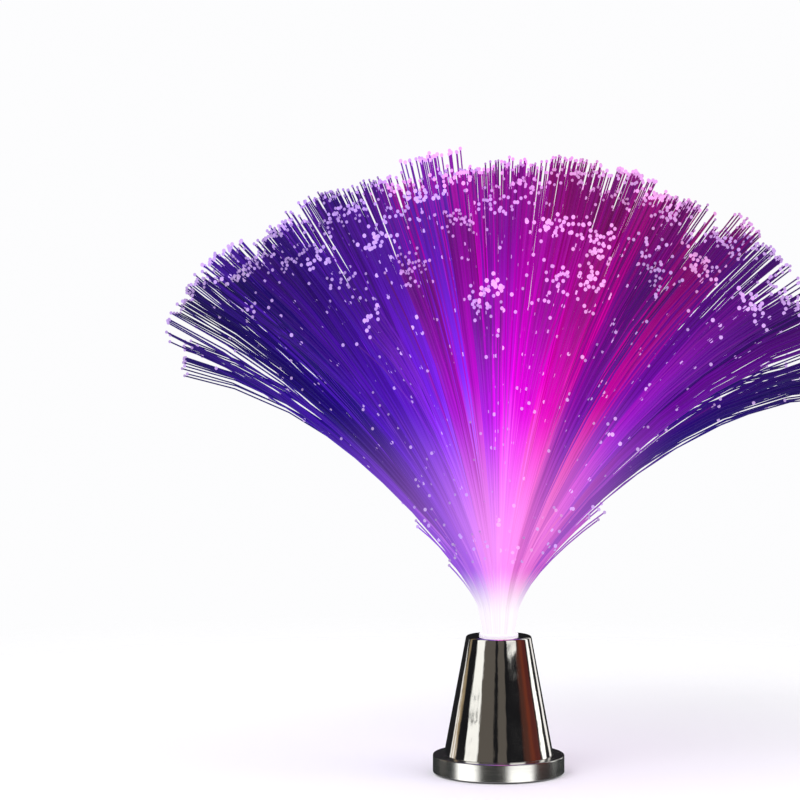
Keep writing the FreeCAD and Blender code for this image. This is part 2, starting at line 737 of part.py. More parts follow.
def make_switch():
    """Slide switch: a frame with two ears, the case on it, three terminals and the knob."""
    x = switch_x
    half_wide = cell("switch_wide") / 2
    clear = cell("knob_clear")
    rim = cell("slider_rim")
    body = new_body("switch_body")
    frame = [around(x, half_wide, 0, ears_half)]
    pad(body, "switch_frame", plate_top, cell("frame_thick"), boxes(frame))
    case = [around(x, half_wide, 0, cell("switch_long") / 2)]
    pad(body, "switch_case", plate_top, cell("switch_high"), boxes(case))
    slot = [around(x, knob_half_wide + clear, 0, slot_half_long)]
    pocket(body, "stem_slot", plate_top, cell("frame_thick"), boxes(slot))
    room = [around(x, knob_half_wide + rim + clear, 0, slot_half_long + rim)]
    pocket(body, "slider_room", frame_top, cell("slider_thick") + clear, boxes(room))
    ear_holes = polygons(stake_spots, cell("stake_dia") + cell("stake_clear") * 2, SHANK_SIDES)
    pocket(body, "ear_holes", plate_top, cell("frame_thick"), ear_holes)

    knob = new_body("switch_knob")
    on_y = cell("knob_travel") / 2
    slider_bottom = frame_top + clear / 2
    stem_bottom = frame_top - cell("knob_drop")
    stem = [around(x, knob_half_wide, on_y, knob_half_long)]
    pad(knob, "stem", stem_bottom, slider_bottom - stem_bottom, boxes(stem))
    slider = [around(x, knob_half_wide + rim, on_y, knob_half_long + rim)]
    pad(knob, "slider", slider_bottom, cell("slider_thick"), boxes(slider))
    groove = cell("knob_long") / 12
    grooves = [around(x, knob_half_wide, on_y + groove * 3 * i, groove) for i in (-1, 0, 1)]
    pocket(knob, "knob_grooves", stem_bottom, groove, boxes(grooves))

    half_blade = cell("blade_wide") / 2
    half_thick = cell("blade_thick") / 2
    blades = [around(x, half_blade, cell("knob_travel") * i, half_thick) for i in (-1, 0, 1)]
    terminals = new_body("switch_terminals", many=True)
    pad(terminals, "blades", case_top, cell("tag_high"), boxes(blades))


# ---------------------------------------------------------------------------- light engine


def make_lamp_board():
    """Round circuit board with its three diodes, the controller chip and three resistors."""
    flange_dia = cell("led_dia") + cell("led_rim") * 2
    reach = (flange_dia + cell("led_space")) / math.sqrt(3)
    lead = cell("lead_wide") / 2
    angles = [math.radians(a) for a in (90, 210, 330)]
    spots = [(reach * math.cos(a), reach * math.sin(a)) for a in angles]
    leads = [[(x + cell("lead_pitch") / 2 * side, y) for side in (-1, 1)] for x, y in spots]

    board = new_body("led_board")
    pad(board, "disc", board_bottom, cell("board_thick"), circles([(0, 0)], board_radius * 2))
    hole_dia = cell("board_screw_dia") + cell("shank_play")
    screw_holes = polygons(board_screw_spots, hole_dia, SHANK_SIDES)
    pocket(board, "board_screw_holes", board_bottom, cell("board_thick"), screw_holes)
    hole = lead + cell("screw_clear")
    lead_holes = [around(x, hole, y, hole) for pair in leads for x, y in pair]
    pocket(board, "lead_holes", board_bottom, cell("board_thick"), boxes(lead_holes))

    rim_thick = cell("led_rim_thick")
    lens_high = cell("led_high") - rim_thick
    for spot, pair, colour in zip(spots, leads, LED_COLOURS):
        lamp = new_body(f"led_{colour}")
        lens = polygons([spot], cell("led_dia"), SMALL_SIDES)
        tip = polygons([spot], cell("led_dia") * 0.7, SMALL_SIDES)
        flange = polygons([spot], flange_dia, SMALL_SIDES)
        pad(lamp, f"{colour}_flange", board_top, rim_thick, flange)
        pad(lamp, f"{colour}_lens", board_top, lens_high, lens)
        pad(lamp, f"{colour}_tip", board_top, cell("led_high"), tip)
        legs = boxes([around(x, lead, y, lead) for x, y in pair])
        legs_bottom = board_bottom - cell("lead_pitch") / 2
        pad(lamp, f"{colour}_legs", legs_bottom, board_top + rim_thick / 2 - legs_bottom, legs)

    parts_y = board_radius / 2
    chip_half = cell("chip_wide") / 2
    chip_high = cell("board_thick")
    chip_case = boxes([around(0, chip_half, -parts_y, chip_half)])
    chip = new_body("controller_chip")
    pad(chip, "chip_case", board_bottom - chip_high, chip_high, chip_case)
    half_long = cell("resistor_long") / 2
    half_wide = cell("resistor_wide") / 2
    rows = [around(cell("resistor_pitch") * i, half_long, parts_y, half_wide) for i in (-1, 0, 1)]
    resistor_high = cell("resistor_high")
    resistors = new_body("resistors", many=True)
    pad(resistors, "resistor_blocks", board_bottom - resistor_high, resistor_high, boxes(rows))


def wire_run(points):
    """An insulated wire: straight runs joined by tangent arcs, with a six-sided section."""
    spots = [Vector(*map(number, p)) for p in points]
    edges = []
    start = spots[0]
    for before, corner, after in zip(spots, spots[1:], spots[2:]):
        back = before - corner
        ahead = after - corner
        turn = math.pi - back.getAngle(ahead)
        trim = WIRE_TRIM * min(back.Length, ahead.Length)
        radius = trim / math.tan(turn / 2)
        arc_start = corner + back.normalize() * trim
        arc_end = corner + ahead.normalize() * trim
        inwards = (back + ahead).normalize()
        middle = corner + inwards * (radius / math.cos(turn / 2) - radius)
        edges.append(Part.LineSegment(start, arc_start).toShape())
        edges.append(Part.Arc(arc_start, middle, arc_end).toShape())
        start = arc_end
    edges.append(Part.LineSegment(start, spots[-1]).toShape())
    reach = cell("wire_dia").value / 2
    flats = [2 * math.pi * i / 6 for i in range(7)]
    corners = [Vector(reach * math.cos(a), reach * math.sin(a), 0) for a in flats]
    section = Part.makePolygon([spots[0] + corner for corner in corners])
    return Part.Wire(edges).makePipeShell([section], True, False)


def make_wires():
    """Leads from the battery contacts to the switch and up to the lamp board."""
    left, right = cell_columns[0], cell_columns[2]
    tag_y = contact_face + cell("contact_thick") / 2
    low_terminal = -cell("knob_travel")
    blade_top = case_top + cell("tag_high")
    over_boss = cell("boss_top") + cell("wire_over")
    rest = board_bottom - cell("wire_drop")
    board_edge = board_radius - cell("wire_inset")
    beside_left = left + cell("wire_rise") / 2
    group("wire_positive", [wire_run([
        (left, tag_y, tag_top),
        (left, tag_y, tag_top + cell("wire_rise")),
        (beside_left, board_edge, rest),
        (beside_left, board_edge, board_bottom),
    ])])
    group("wire_negative", [wire_run([
        (right, -tag_y, tag_top),
        (right, -tag_y, over_boss),
        (switch_x, low_terminal, over_boss),
        (switch_x, low_terminal, blade_top),
    ])])
    group("wire_switched", [wire_run([
        (switch_x, 0, blade_top),
        (switch_x, 0, blade_top + cell("wire_rise") + cell("wire_over")),
        (board_edge, cell("knob_travel"), rest - cell("wire_over")),
        (board_edge, cell("knob_travel"), board_bottom),
    ])])


# ---------------------------------------------------------------------------- fibre spray


def make_fibre_collar():
    """White collar that grips the fibres; it drops into the sleeve and rests on its own lip."""
    body = new_body("fibre_collar")
    outer = cell("collar_dia") / 2
    outline = [
        (collar_bore, collar_bottom),
        (outer, collar_bottom),
        (outer, cell("body_height")),
        (collar_lip, cell("body_height")),
        (collar_lip, collar_top),
        (collar_bore, collar_top),
    ]
    revolve(body, "collar_turned", outline)
    chamfer(body, "lip_edge_broken", collar_lip, collar_top, cell("collar_edge"))


def make_light_window():
    """Clear disc in the foot of the collar, which carries the polished ends of the fibres."""
    body = new_body("light_window")
    disc = polygons([(0, 0)], (collar_bore - cell("window_clear")) * 2, CELL_SIDES)
    pad(body, "window_disc", collar_bottom, cell("window_thick"), disc)


def make_fibre(name, radius, tilt, bend, length):
    """One fibre: straight through the collar, bent outwards in steps, then straight to its tip."""
    body = new_body(name)
    section = new_sketch(body, name + "_section", height=window_top)
    draw_polygon(section, radius, 0, cell("fibre_dia"), FIBRE_SIDES, "flat")
    points = [(radius, window_top), (radius, collar_top)]
    for i in range(1, BEND_STEPS + 1):
        part_tilt = tilt * (i / BEND_STEPS)
        points.append((radius + bend * (1 - cosine(part_tilt)), collar_top + bend * sine(part_tilt)))
    straight = length - bend * tilt * (math.pi / 180)
    end_x, end_z = points[-1]
    points.append((end_x + straight * sine(tilt), end_z + straight * cosine(tilt)))
    path = new_sketch(body, name + "_path", "XZ_Plane")
    draw_run(path, points, closed=False)
    doc.recompute()
    pipe = body.newObject("PartDesign::AdditivePipe", name + "_pipe")
    pipe.Profile = section
    pipe.Spine = (path, [f"Edge{i + 1}" for i in range(len(points) - 1)])
    pipe.Transition = "Right corner"
    body.Tip = pipe
    doc.recompute()
    return body


def make_fibres():
    """The centre fibre and the rings around it, each ring a node of fibres in three cuts."""
    centre = new_body("fibre_centre")
    centre_long = collar_top + cell("fibre_rise") - window_top
    rod = polygons([(0, 0)], cell("fibre_dia"), FIBRE_SIDES)
    pad(centre, "centre_rod", window_top, centre_long, rod)
    for ring, count in enumerate(FIBRES_IN_RING, start=1):
        share = ring / len(FIBRES_IN_RING)
        bend = cell("bend_radius") / share  # fibres nearer the middle bend more gently
        rods = []
        for cut, (tilt_lost, length_kept) in enumerate(FIBRE_CUTS):
            tilt = (cell("outer_tilt") - tilt_lost) * share
            length = cell("fibre_rise") * ((1 - OUTER_SHORTENING * share) * length_kept)
            master = make_fibre(f"fibre_master_{ring}_{cut}", ring_pitch * ring, tilt, bend, length)
            for place in range(cut, count, len(FIBRE_CUTS)):
                rod = master.Shape.copy()
                rod.rotate(Vector(0, 0, 0), Vector(0, 0, 1), 360 * place / count)
                rods.append(rod)
        group(f"fibre_ring_{ring}", rods)


# ---------------------------------------------------------------------------- build and export


def check_and_export():
    """Stops if anything failed, then writes one STEP file for each node."""
    doc.recompute()
    bad = [o.Name for o in doc.Objects if "Invalid" in o.State or "Error" in o.State]
    if bad:
        raise RuntimeError(f"these objects failed: {bad}")
    nodes = [
        o for o in doc.Objects
        if o.TypeId in ("PartDesign::Body", "Part::Feature") and not o.Label.startswith("fibre_master")
    ]
    for node in nodes:
        if node.Shape.isNull() or not node.Shape.isValid() or not node.Shape.Solids:
            raise RuntimeError(f"{node.Label} has no valid solid")
    os.makedirs("parts", exist_ok=True)
    for node in nodes:
        node.Shape.exportStep(os.path.join("parts", node.Label + ".step"))
    print(f"{len(nodes)} nodes, {sum(len(n.Shape.Solids) for n in nodes)} solids written")


make_base_ring()
make_chrome_cone()
make_bottom_plate()
make_battery_door()
make_foot_pads()
make_all_screws()
make_batteries()
make_contacts()
make_springs()
make_switch()
make_lamp_board()
make_wires()
make_fibre_collar()
make_light_window()
make_fibres()
check_and_export()
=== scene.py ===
import math
import random

import bmesh
import bpy
from mathutils import Matrix, Vector
from mathutils.kdtree import KDTree


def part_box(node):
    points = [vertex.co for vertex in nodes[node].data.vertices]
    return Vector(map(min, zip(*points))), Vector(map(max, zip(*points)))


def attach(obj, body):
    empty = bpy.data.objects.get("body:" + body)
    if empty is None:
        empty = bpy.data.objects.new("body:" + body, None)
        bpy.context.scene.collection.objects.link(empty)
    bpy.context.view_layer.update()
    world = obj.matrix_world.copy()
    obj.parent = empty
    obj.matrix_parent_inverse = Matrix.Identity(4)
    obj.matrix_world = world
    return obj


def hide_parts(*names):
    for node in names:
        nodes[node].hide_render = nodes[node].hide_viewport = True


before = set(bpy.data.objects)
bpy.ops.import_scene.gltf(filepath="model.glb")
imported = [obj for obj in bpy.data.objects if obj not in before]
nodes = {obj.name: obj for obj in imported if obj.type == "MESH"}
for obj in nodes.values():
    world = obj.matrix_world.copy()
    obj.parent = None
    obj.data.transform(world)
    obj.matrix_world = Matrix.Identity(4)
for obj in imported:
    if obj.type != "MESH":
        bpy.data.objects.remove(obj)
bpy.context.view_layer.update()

# A battery fibre optic lamp: chrome cone in a satin ring, with a lit spray of plastic fibres.
# Sizes in the dictionaries are in millimetres. The front of the lamp faces -Y.

mm = 0.001
scene = bpy.context.scene
corners = [(-1, -1), (-1, 1), (1, -1), (1, 1)]  # signs of X and Y


# small helpers

def linear(hexColour):
    parts = [int(hexColour[i:i + 2], 16) / 255 for i in (1, 3, 5)]
    return [c / 12.92 if c <= 0.04045 else ((c + 0.055) / 1.055) ** 2.4 for c in parts] + [1.0]


def addNode(owner, kind, inputs=None, **settings):
    # adds one node; its kind goes without ShaderNode or CompositorNode, and an input is a number, a colour
    # or the output of another node
    tree = owner.node_tree
    node = tree.nodes.new(tree.bl_idname.removesuffix("Tree") + kind)
    for name, value in settings.items():
        setattr(node, name, value)
    for name, value in (inputs or {}).items():
        if isinstance(value, bpy.types.NodeSocket):
            tree.links.new(value, node.inputs[name])
        else:
            node.inputs[name].default_value = value
    return node


def setRamp(ramp, stops):
    # stops are (place from 0 to 1, sRGB hex)
    marks = ramp.color_ramp.elements
    marks.remove(marks[-1])
    marks[0].position, marks[0].color = stops[0][0], linear(stops[0][1])
    for place, colour in stops[1:]:
        marks.new(place).color = linear(colour)
    return ramp


def cyclesPerMetre(sizeMm):
    # a noise texture's scale for features of this size
    return 1000.0 / sizeMm


def emptyMaterial(name):
    material = bpy.data.materials.new(name)
    material.use_nodes = True
    material.node_tree.nodes.clear()
    return material


def patternedMaterial(name):
    # also gives the piece's own coordinates, which its patterns follow
    material = emptyMaterial(name)
    return material, addNode(material, "TexCoord").outputs["Object"]


def closeMaterial(material, shader):
    addNode(material, "OutputMaterial", {"Surface": shader.outputs[0]})
    return material


def latheShape(outline, steps, rounded=None):
    # turns a closed outline of (radius, height) about Z; rounded gives corners their radius and segments
    shape = bmesh.new()
    points = [shape.verts.new((r * mm, 0, z * mm)) for r, z in outline]
    sides = [shape.edges.new(pair) for pair in zip(points, points[1:] + points[:1])]
    bmesh.ops.spin(shape, geom=points + sides, cent=(0, 0, 0), axis=(0, 0, 1), angle=2 * math.pi,
                   steps=steps, use_merge=True)
    bmesh.ops.remove_doubles(shape, verts=shape.verts[:], dist=1e-6)
    bmesh.ops.dissolve_degenerate(shape, edges=shape.edges[:], dist=1e-7)
    # an outline that runs along the axis leaves an edge there with no face
    bmesh.ops.delete(shape, geom=[e for e in shape.edges if not e.link_faces], context="EDGES")
    bmesh.ops.recalc_face_normals(shape, faces=shape.faces[:])
    for index, (radius, segments) in (rounded or {}).items():
        r, z = outline[index]
        ring = [e for e in shape.edges if all(
            abs(v.co.z - z * mm) < 1e-6 and abs(v.co.xy.length - r * mm) < 1e-6 for v in e.verts)]
        bmesh.ops.bevel(shape, geom=ring, offset=radius * mm, offset_type="OFFSET", segments=segments,
                        profile=0.5, affect="EDGES", material=-1)
    return shape


def meshFrom(name, shape):
    mesh = bpy.data.meshes.new(name)
    shape.to_mesh(mesh)
    shape.free()
    return mesh


def addObject(name, data):
    added = bpy.data.objects.new(name, data)
    scene.collection.objects.link(added)
    return added


def addShape(shape, other, turn=None):
    # puts a copy of another shape into this one
    mesh = bpy.data.meshes.new("part")
    other.to_mesh(mesh)
    if turn:
        mesh.transform(turn)
    shape.from_mesh(mesh)
    bpy.data.meshes.remove(mesh)


def newPiece(name, shape, body, materials, replaced, sharpAngle=35, evenNormals=True):
    mesh = meshFrom(name, shape)
    mesh.shade_smooth()
    mesh.set_sharp_from_angle(angle=math.radians(sharpAngle))
    piece = addObject(name, mesh)
    for material in materials:
        mesh.materials.append(material)
    if evenNormals:
        # large faces stay true to their own shape beside rounded edges, so mirror images run straight
        weighted = piece.modifiers.new("evenNormals", "WEIGHTED_NORMAL")
        weighted.keep_sharp = True
        weighted.weight = 100
    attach(piece, body)
    if replaced:
        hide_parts(*replaced)


def dressNodes(**finishes):
    # gives nodes of the frame their finishes
    for name, material in finishes.items():
        mesh = nodes[name].data
        mesh.materials.clear()
        mesh.materials.append(material)


def tubeShape(name, paths, radius, resolution, taper=None):
    # round rods along lists of points, closed at both ends; taper scales the radius at each point
    curve = bpy.data.curves.new(name, "CURVE")
    curve.dimensions = "3D"
    curve.bevel_depth = radius * mm
    curve.bevel_resolution = resolution
    curve.use_fill_caps = True
    for path in paths:
        spline = curve.splines.new("POLY")
        spline.points.add(len(path) - 1)
        for point, place in zip(spline.points, path):
            point.co = (*(place * mm), 1.0)
        if taper:
            spline.points.foreach_set("radius", taper)
    holder = bpy.data.objects.new(name, curve)
    mesh = bpy.data.meshes.new_from_object(holder)
    bpy.data.objects.remove(holder)
    bpy.data.curves.remove(curve)
    shape = bmesh.new()
    shape.from_mesh(mesh)
    bpy.data.meshes.remove(mesh)
    # the end caps come loose from the tubes
    bmesh.ops.remove_doubles(shape, verts=shape.verts[:], dist=1e-6)
    bmesh.ops.recalc_face_normals(shape, faces=shape.faces[:])
    return shape


# camera, floor and light

studio = {
    "aim": (-56.2, 0.0, 212.5),  # the point that the camera looks at
    "distance": 1400.0,
    "elevation": 1.5,  # degrees above level
    "widthSeen": 454.4,  # at the lamp's axis
    "paleFloor": "#f6f6f8",
    "backdrop": "#fcfcfd",
    "floorRadius": 900.0,
    "floorFade": (0.25, 0.85),  # metres from the lamp, between which it fades into the backdrop
    "floorLow": 0.2,  # under the feet, so that the two don't flicker
    # place in metres, size and watts: one above the left shoulder, and a weaker one from the right
    "lamps": {"keyLamp": ((-0.9, -1.1, 1.5), 1.2, 16.0), "fillLamp": ((1.3, -0.5, 0.9), 1.4, 7.0)},
}


def makeCamera():
    rise = math.radians(studio["elevation"])
    aim = Vector(studio["aim"]) * mm
    away = Vector((0, -math.cos(rise), math.sin(rise))) * studio["distance"] * mm
    data = bpy.data.cameras.new("camera")
    data.sensor_width = 36
    data.lens = 36 * studio["distance"] / studio["widthSeen"]
    data.clip_end = 50
    camera = addObject("camera", data)
    camera.location = aim + away
    camera.rotation_euler = (-away).to_track_quat("-Z", "Y").to_euler()
    scene.camera = camera


def makeFloor():
    # a pale painted disc
    shape = bmesh.new()
    bmesh.ops.create_circle(shape, cap_ends=True, segments=96, radius=studio["floorRadius"] * mm)
    mesh = meshFrom("floor", shape)
    floor = addObject("floor", mesh)
    floor.location = (0, 0, -studio["floorLow"] * mm)
    material, place = patternedMaterial("paintedStudioFloor")
    reach = addNode(material, "VectorMath", {0: place}, operation="LENGTH")
    near, far = studio["floorFade"]
    fade = addNode(material, "MapRange", {
        "Value": reach.outputs["Value"], "From Min": near, "From Max": far},
        interpolation_type="SMOOTHERSTEP")
    speckle = addNode(material, "TexNoise", {
        "Vector": place, "Scale": cyclesPerMetre(40), "Detail": 3.0})
    tone = addNode(material, "MapRange", {
        "Value": speckle.outputs["Fac"], "To Min": 0.58, "To Max": 0.66})
    paint = addNode(material, "BsdfPrincipled", {
        "Base Color": linear(studio["paleFloor"]), "Roughness": tone.outputs["Result"],
        "Specular IOR Level": 0.1})
    clear = addNode(material, "BsdfTransparent")
    both = addNode(material, "MixShader", {
        0: fade.outputs["Result"], 1: paint.outputs[0], 2: clear.outputs[0]})
    closeMaterial(material, both)
    mesh.materials.append(material)
    floor.visible_glossy = False


# what the chrome mirrors: panels round the lamp, from and to in turns with the front at 0, tone, soft edge
room = {
    "tones": {
        "dark": "#101012", "table": "#1c1f1e", "wall": "#55504a", "curtain": "#501e18", "umber": "#48281f",
        "rust": "#662c1b", "brass": "#86765c", "silver": "#c8c6c4", "lamp": "#fafaf6",
        "ceiling": "#26242a", "floor": "#8d8c90",
    },
    # above the table, as the leaning side of the cone sees it
    "upper": [
        (-0.32, -0.30, "brass", 0.006), (-0.22, -0.14, "lamp", 0.006), (-0.134, -0.04, "wall", 0.007),
        (-0.01, 0.04, "wall", 0.007), (0.165, 0.185, "umber", 0.02), (0.205, 0.217, "rust", 0.02),
        (0.237, 0.262, "curtain", 0.02), (0.292, 0.324, "lamp", 0.007), (0.374, 0.404, "silver", 0.006),
    ],
    # light through a blind, low on the left
    "blind": [
        (-0.348, -0.342, "silver", 0.006), (-0.334, -0.33, "brass", 0.006),
        (-0.322, -0.318, "silver", 0.008), (-0.31, -0.306, "brass", 0.006), (-0.30, -0.296, "silver", 0.005),
    ],
    # the low lamps beside the table, as the upright ring sees them
    "low": [(-0.21, -0.12, "lamp", 0.027), (0.053, 0.157, "lamp", 0.027)],
    # along these slopes each side of the cone mirrors one level of its own height
    "slopes": {"leftLevel": -0.62, "rightLevel": 0.36},
    # what each set of panels is laid out by, and what shows between its panels
    "grounds": {"upper": ("frayed", "dark"), "blind": ("frayed", "dark"), "low": ("turns", "table")},
    # what covers the upper panels, in order: panels or a tone, and its edges as (measure, where it
    # starts, where it is full), with the front at 0.5 turns
    "layers": [
        ("blind", [("height", 0.056, 0.048), ("turns", 0.252, 0.25)]),
        # a plant before the left lamp
        ("dark", [("frayed", 0.255, 0.262), ("frayed", 0.352, 0.342), ("leftLevel", -0.0310, -0.0300),
                  ("leftLevel", -0.0252, -0.0264), ("ragged", 0.26, 0.31)]),
        # a window pane high up in front, with a ragged lower edge
        ("lamp", [("frayed", 0.569, 0.573), ("frayed", 0.668, 0.664), ("rightLevel", 0.4466, 0.4475)]),
        ("low", [("height", -0.1, -0.12)]),
        ("ceiling", [("height", 0.55, 0.8)]),
        ("floor", [("height", -0.35, -0.6)]),
    ],
    "grainScale": (14, 14, 190),  # of the noise that frays the edges
    "fraying": 0.009,  # how far the noise moves an edge sideways
    "raggedHigh": 0.022,  # and upwards
    # height and strength: low down, as the ring sees it, and above
    "brightness": [(0.045, 1.9), (0.09, 1.2)],
}


def panelStops(panels, ground):
    # colour stops of a ramp that goes once round the lamp; panels that touch have no ground between
    tones = room["tones"]
    stops = []
    for start, end, tone, soft in panels:
        if stops and start - soft + 0.5 <= stops[-1][0]:
            stops.pop()
        else:
            stops.append((start - soft + 0.5, tones[ground]))
        stops += [(start + 0.5, tones[tone]), (end + 0.5, tones[tone]), (end + soft + 0.5, tones[ground])]
    return stops


def makeWorld():
    world = bpy.data.worlds.new("studio")
    world.use_nodes = True
    world.node_tree.nodes.clear()
    scene.world = world
    around = addNode(world, "TexCoord").outputs["Generated"]
    heading = addNode(world, "SeparateXYZ", {0: around})
    height = heading.outputs["Z"]
    towards = addNode(world, "Math", {0: heading.outputs["Y"], 1: -1.0}, operation="MULTIPLY")
    angle = addNode(world, "Math", {0: heading.outputs["X"], 1: towards.outputs[0]},
                    operation="ARCTAN2")
    turns = addNode(world, "MapRange", {
        "Value": angle.outputs[0], "From Min": -math.pi, "From Max": math.pi}).outputs["Result"]
    tall = addNode(world, "Mapping", {"Vector": around, "Scale": room["grainScale"]})
    ragged = addNode(world, "TexNoise", {
        "Vector": tall.outputs["Vector"], "Scale": 1.0, "Detail": 4.0, "Roughness": 0.7}).outputs["Fac"]
    nudge = addNode(world, "MapRange", {
        "Value": ragged, "From Min": 0.3, "From Max": 0.7, "To Min": -room["fraying"],
        "To Max": room["fraying"]})
    frayed = addNode(world, "Math", {0: turns, 1: nudge.outputs["Result"]}, operation="ADD")
    rough = addNode(world, "Math", {0: ragged, 1: room["raggedHigh"], 2: height},
                    operation="MULTIPLY_ADD")
    measures = {"height": height, "turns": turns, "frayed": frayed.outputs[0], "ragged": ragged}
    for name, slope in room["slopes"].items():
        level = addNode(world, "Math", {0: turns, 1: slope, 2: rough.outputs[0]},
                        operation="MULTIPLY_ADD")
        measures[name] = level.outputs[0]
    paints = {name: linear(tone) for name, tone in room["tones"].items()}
    for name, (measure, ground) in room["grounds"].items():
        ramp = addNode(world, "ValToRGB", {"Fac": measures[measure]})
        paints[name] = setRamp(ramp, panelStops(room[name], ground)).outputs["Color"]
    colour = paints["upper"]
    for name, edges in room["layers"]:
        share = 1.0
        for measure, start, full in edges:
            edge = addNode(world, "MapRange", {
                "Value": measures[measure], "From Min": start, "From Max": full})
            share = addNode(world, "Math", {0: share, 1: edge.outputs["Result"]},
                            operation="MULTIPLY").outputs[0]
        colour = addNode(world, "Mix", {"Factor": share, 6: colour, 7: paints[name]},
                         data_type="RGBA").outputs[2]
    (low, strong), (high, weak) = room["brightness"]
    strength = addNode(world, "MapRange", {
        "Value": height, "From Min": low, "From Max": high, "To Min": strong, "To Max": weak})
    reflected = addNode(world, "Background", {
        "Color": colour, "Strength": strength.outputs["Result"]})
    seen = addNode(world, "Background", {"Color": linear(studio["backdrop"]), "Strength": 1.0})
    path = addNode(world, "LightPath")
    both = addNode(world, "MixShader", {
        0: path.outputs["Is Glossy Ray"], 1: seen.outputs[0], 2: reflected.outputs[0]})
    addNode(world, "OutputWorld", {"Surface": both.outputs[0]})


def makeLamps():
    # large and soft, and not seen in the chrome
    for name, (place, size, watts) in studio["lamps"].items():
        data = bpy.data.lights.new(name, "AREA")
        data.size = size
        data.energy = watts
        lamp = addObject(name, data)
        lamp.location = place
        lamp.rotation_euler = (Vector((0, 0, 0.1)) - Vector(place)).to_track_quat("-Z", "Y").to_euler()
        lamp.visible_glossy = False


def makeColours():
    # plain colour transform, and the slight bloom that a lens puts round the brightest points
    scene.view_settings.view_transform = "Standard"
    scene.view_settings.look = "None"
    scene.use_nodes = True
    scene.node_tree.nodes.clear()
    taken = addNode(scene, "RLayers")
    bloom = addNode(scene, "Glare", {
        "Image": taken.outputs["Image"], "Threshold": 1.0, "Strength": 0.45, "Size": 0.35},
        glare_type="BLOOM", quality="HIGH")
    addNode(scene, "Composite", {"Image": bloom.outputs["Image"]})


makeCamera()
makeFloor()
makeWorld()
makeLamps()
makeColours()
print("stage: camera, floor and light")


# finishes

def vacuumChrome(name):
    # ABS shell with vacuum-deposited chrome: a true mirror with the faint waviness of moulded plastic
    material, place = patternedMaterial(name)
    longer = addNode(material, "Mapping", {
        "Vector": place, "Scale": (1, 1, 0.35)})
    wave = addNode(material, "TexNoise", {
        "Vector": longer.outputs[0], "Scale": cyclesPerMetre(9), "Detail": 2.0, "Roughness": 0.5})
    bump = addNode(material, "Bump", {
        "Height": wave.outputs["Fac"], "Strength": 0.12, "Distance": 0.0012})
    smear = addNode(material, "TexNoise", {
        "Vector": place, "Scale": cyclesPerMetre(22), "Detail": 4.0})
    dull = addNode(material, "MapRange", {
        "Value": smear.outputs["Fac"], "From Min": 0.35, "From Max": 0.75, "To Min": 0.02, "To Max": 0.07})
    shader = addNode(material, "BsdfPrincipled", {
        "Base Color": linear("#e9e7e3"), "Metallic": 1.0, "Roughness": dull.outputs["Result"],
        "Normal": bump.outputs["Normal"]})
    return closeMaterial(material, shader)


def satinMetal(name, colour, rough, grainMm, across):
    # turned and satin-finished metal: fine rings of tool marks that spread the highlights
    material, place = patternedMaterial(name)
    lines = addNode(material, "Mapping", {"Vector": place, "Scale": across})
    brushed = addNode(material, "TexNoise", {
        "Vector": lines.outputs[0], "Scale": cyclesPerMetre(grainMm), "Detail": 3.0})
    bump = addNode(material, "Bump", {
        "Height": brushed.outputs["Fac"], "Strength": 0.15, "Distance": 0.0001})
    dull = addNode(material, "MapRange", {
        "Value": brushed.outputs["Fac"], "To Min": rough - 0.05, "To Max": rough + 0.07})
    shader = addNode(material, "BsdfPrincipled", {
        "Base Color": linear(colour), "Metallic": 1.0, "Roughness": dull.outputs["Result"],
        "Normal": bump.outputs["Normal"]})
    return closeMaterial(material, shader)


def mouldedPlastic(name, colour, rough, grainMm=0.6, depthMm=0.03):
    # injection-moulded plastic with a spark-eroded texture and a slightly uneven tone
    material, place = patternedMaterial(name)
    grain = addNode(material, "TexNoise", {
        "Vector": place, "Scale": cyclesPerMetre(grainMm), "Detail": 3.0})
    bump = addNode(material, "Bump", {
        "Height": grain.outputs["Fac"], "Strength": 0.35, "Distance": depthMm * mm})
    cloud = addNode(material, "TexNoise", {
        "Vector": place, "Scale": cyclesPerMetre(14), "Detail": 2.0})
    dark = [c * 0.82 for c in linear(colour)[:3]] + [1.0]
    tone = addNode(material, "Mix", {
        "Factor": cloud.outputs["Fac"], 6: dark, 7: linear(colour)}, data_type="RGBA")
    dull = addNode(material, "MapRange", {
        "Value": grain.outputs["Fac"], "To Min": rough - 0.06, "To Max": rough + 0.08})
    shader = addNode(material, "BsdfPrincipled", {
        "Base Color": tone.outputs[2], "Roughness": dull.outputs["Result"], "IOR": 1.53,
        "Normal": bump.outputs["Normal"]})
    return closeMaterial(material, shader)


def platedMetal(name, colour, rough):
    # zinc or nickel plate: bright, with cloudy patches
    material, place = patternedMaterial(name)
    cloud = addNode(material, "TexNoise", {
        "Vector": place, "Scale": cyclesPerMetre(2.5), "Detail": 4.0})
    dull = addNode(material, "MapRange", {
        "Value": cloud.outputs["Fac"], "To Min": rough - 0.08, "To Max": rough + 0.1})
    dark = [c * 0.8 for c in linear(colour)[:3]] + [1.0]
    tone = addNode(material, "Mix", {
        "Factor": cloud.outputs["Fac"], 6: dark, 7: linear(colour)}, data_type="RGBA")
    shader = addNode(material, "BsdfPrincipled", {
        "Base Color": tone.outputs[2], "Metallic": 1.0, "Roughness": dull.outputs["Result"]})
    return closeMaterial(material, shader)


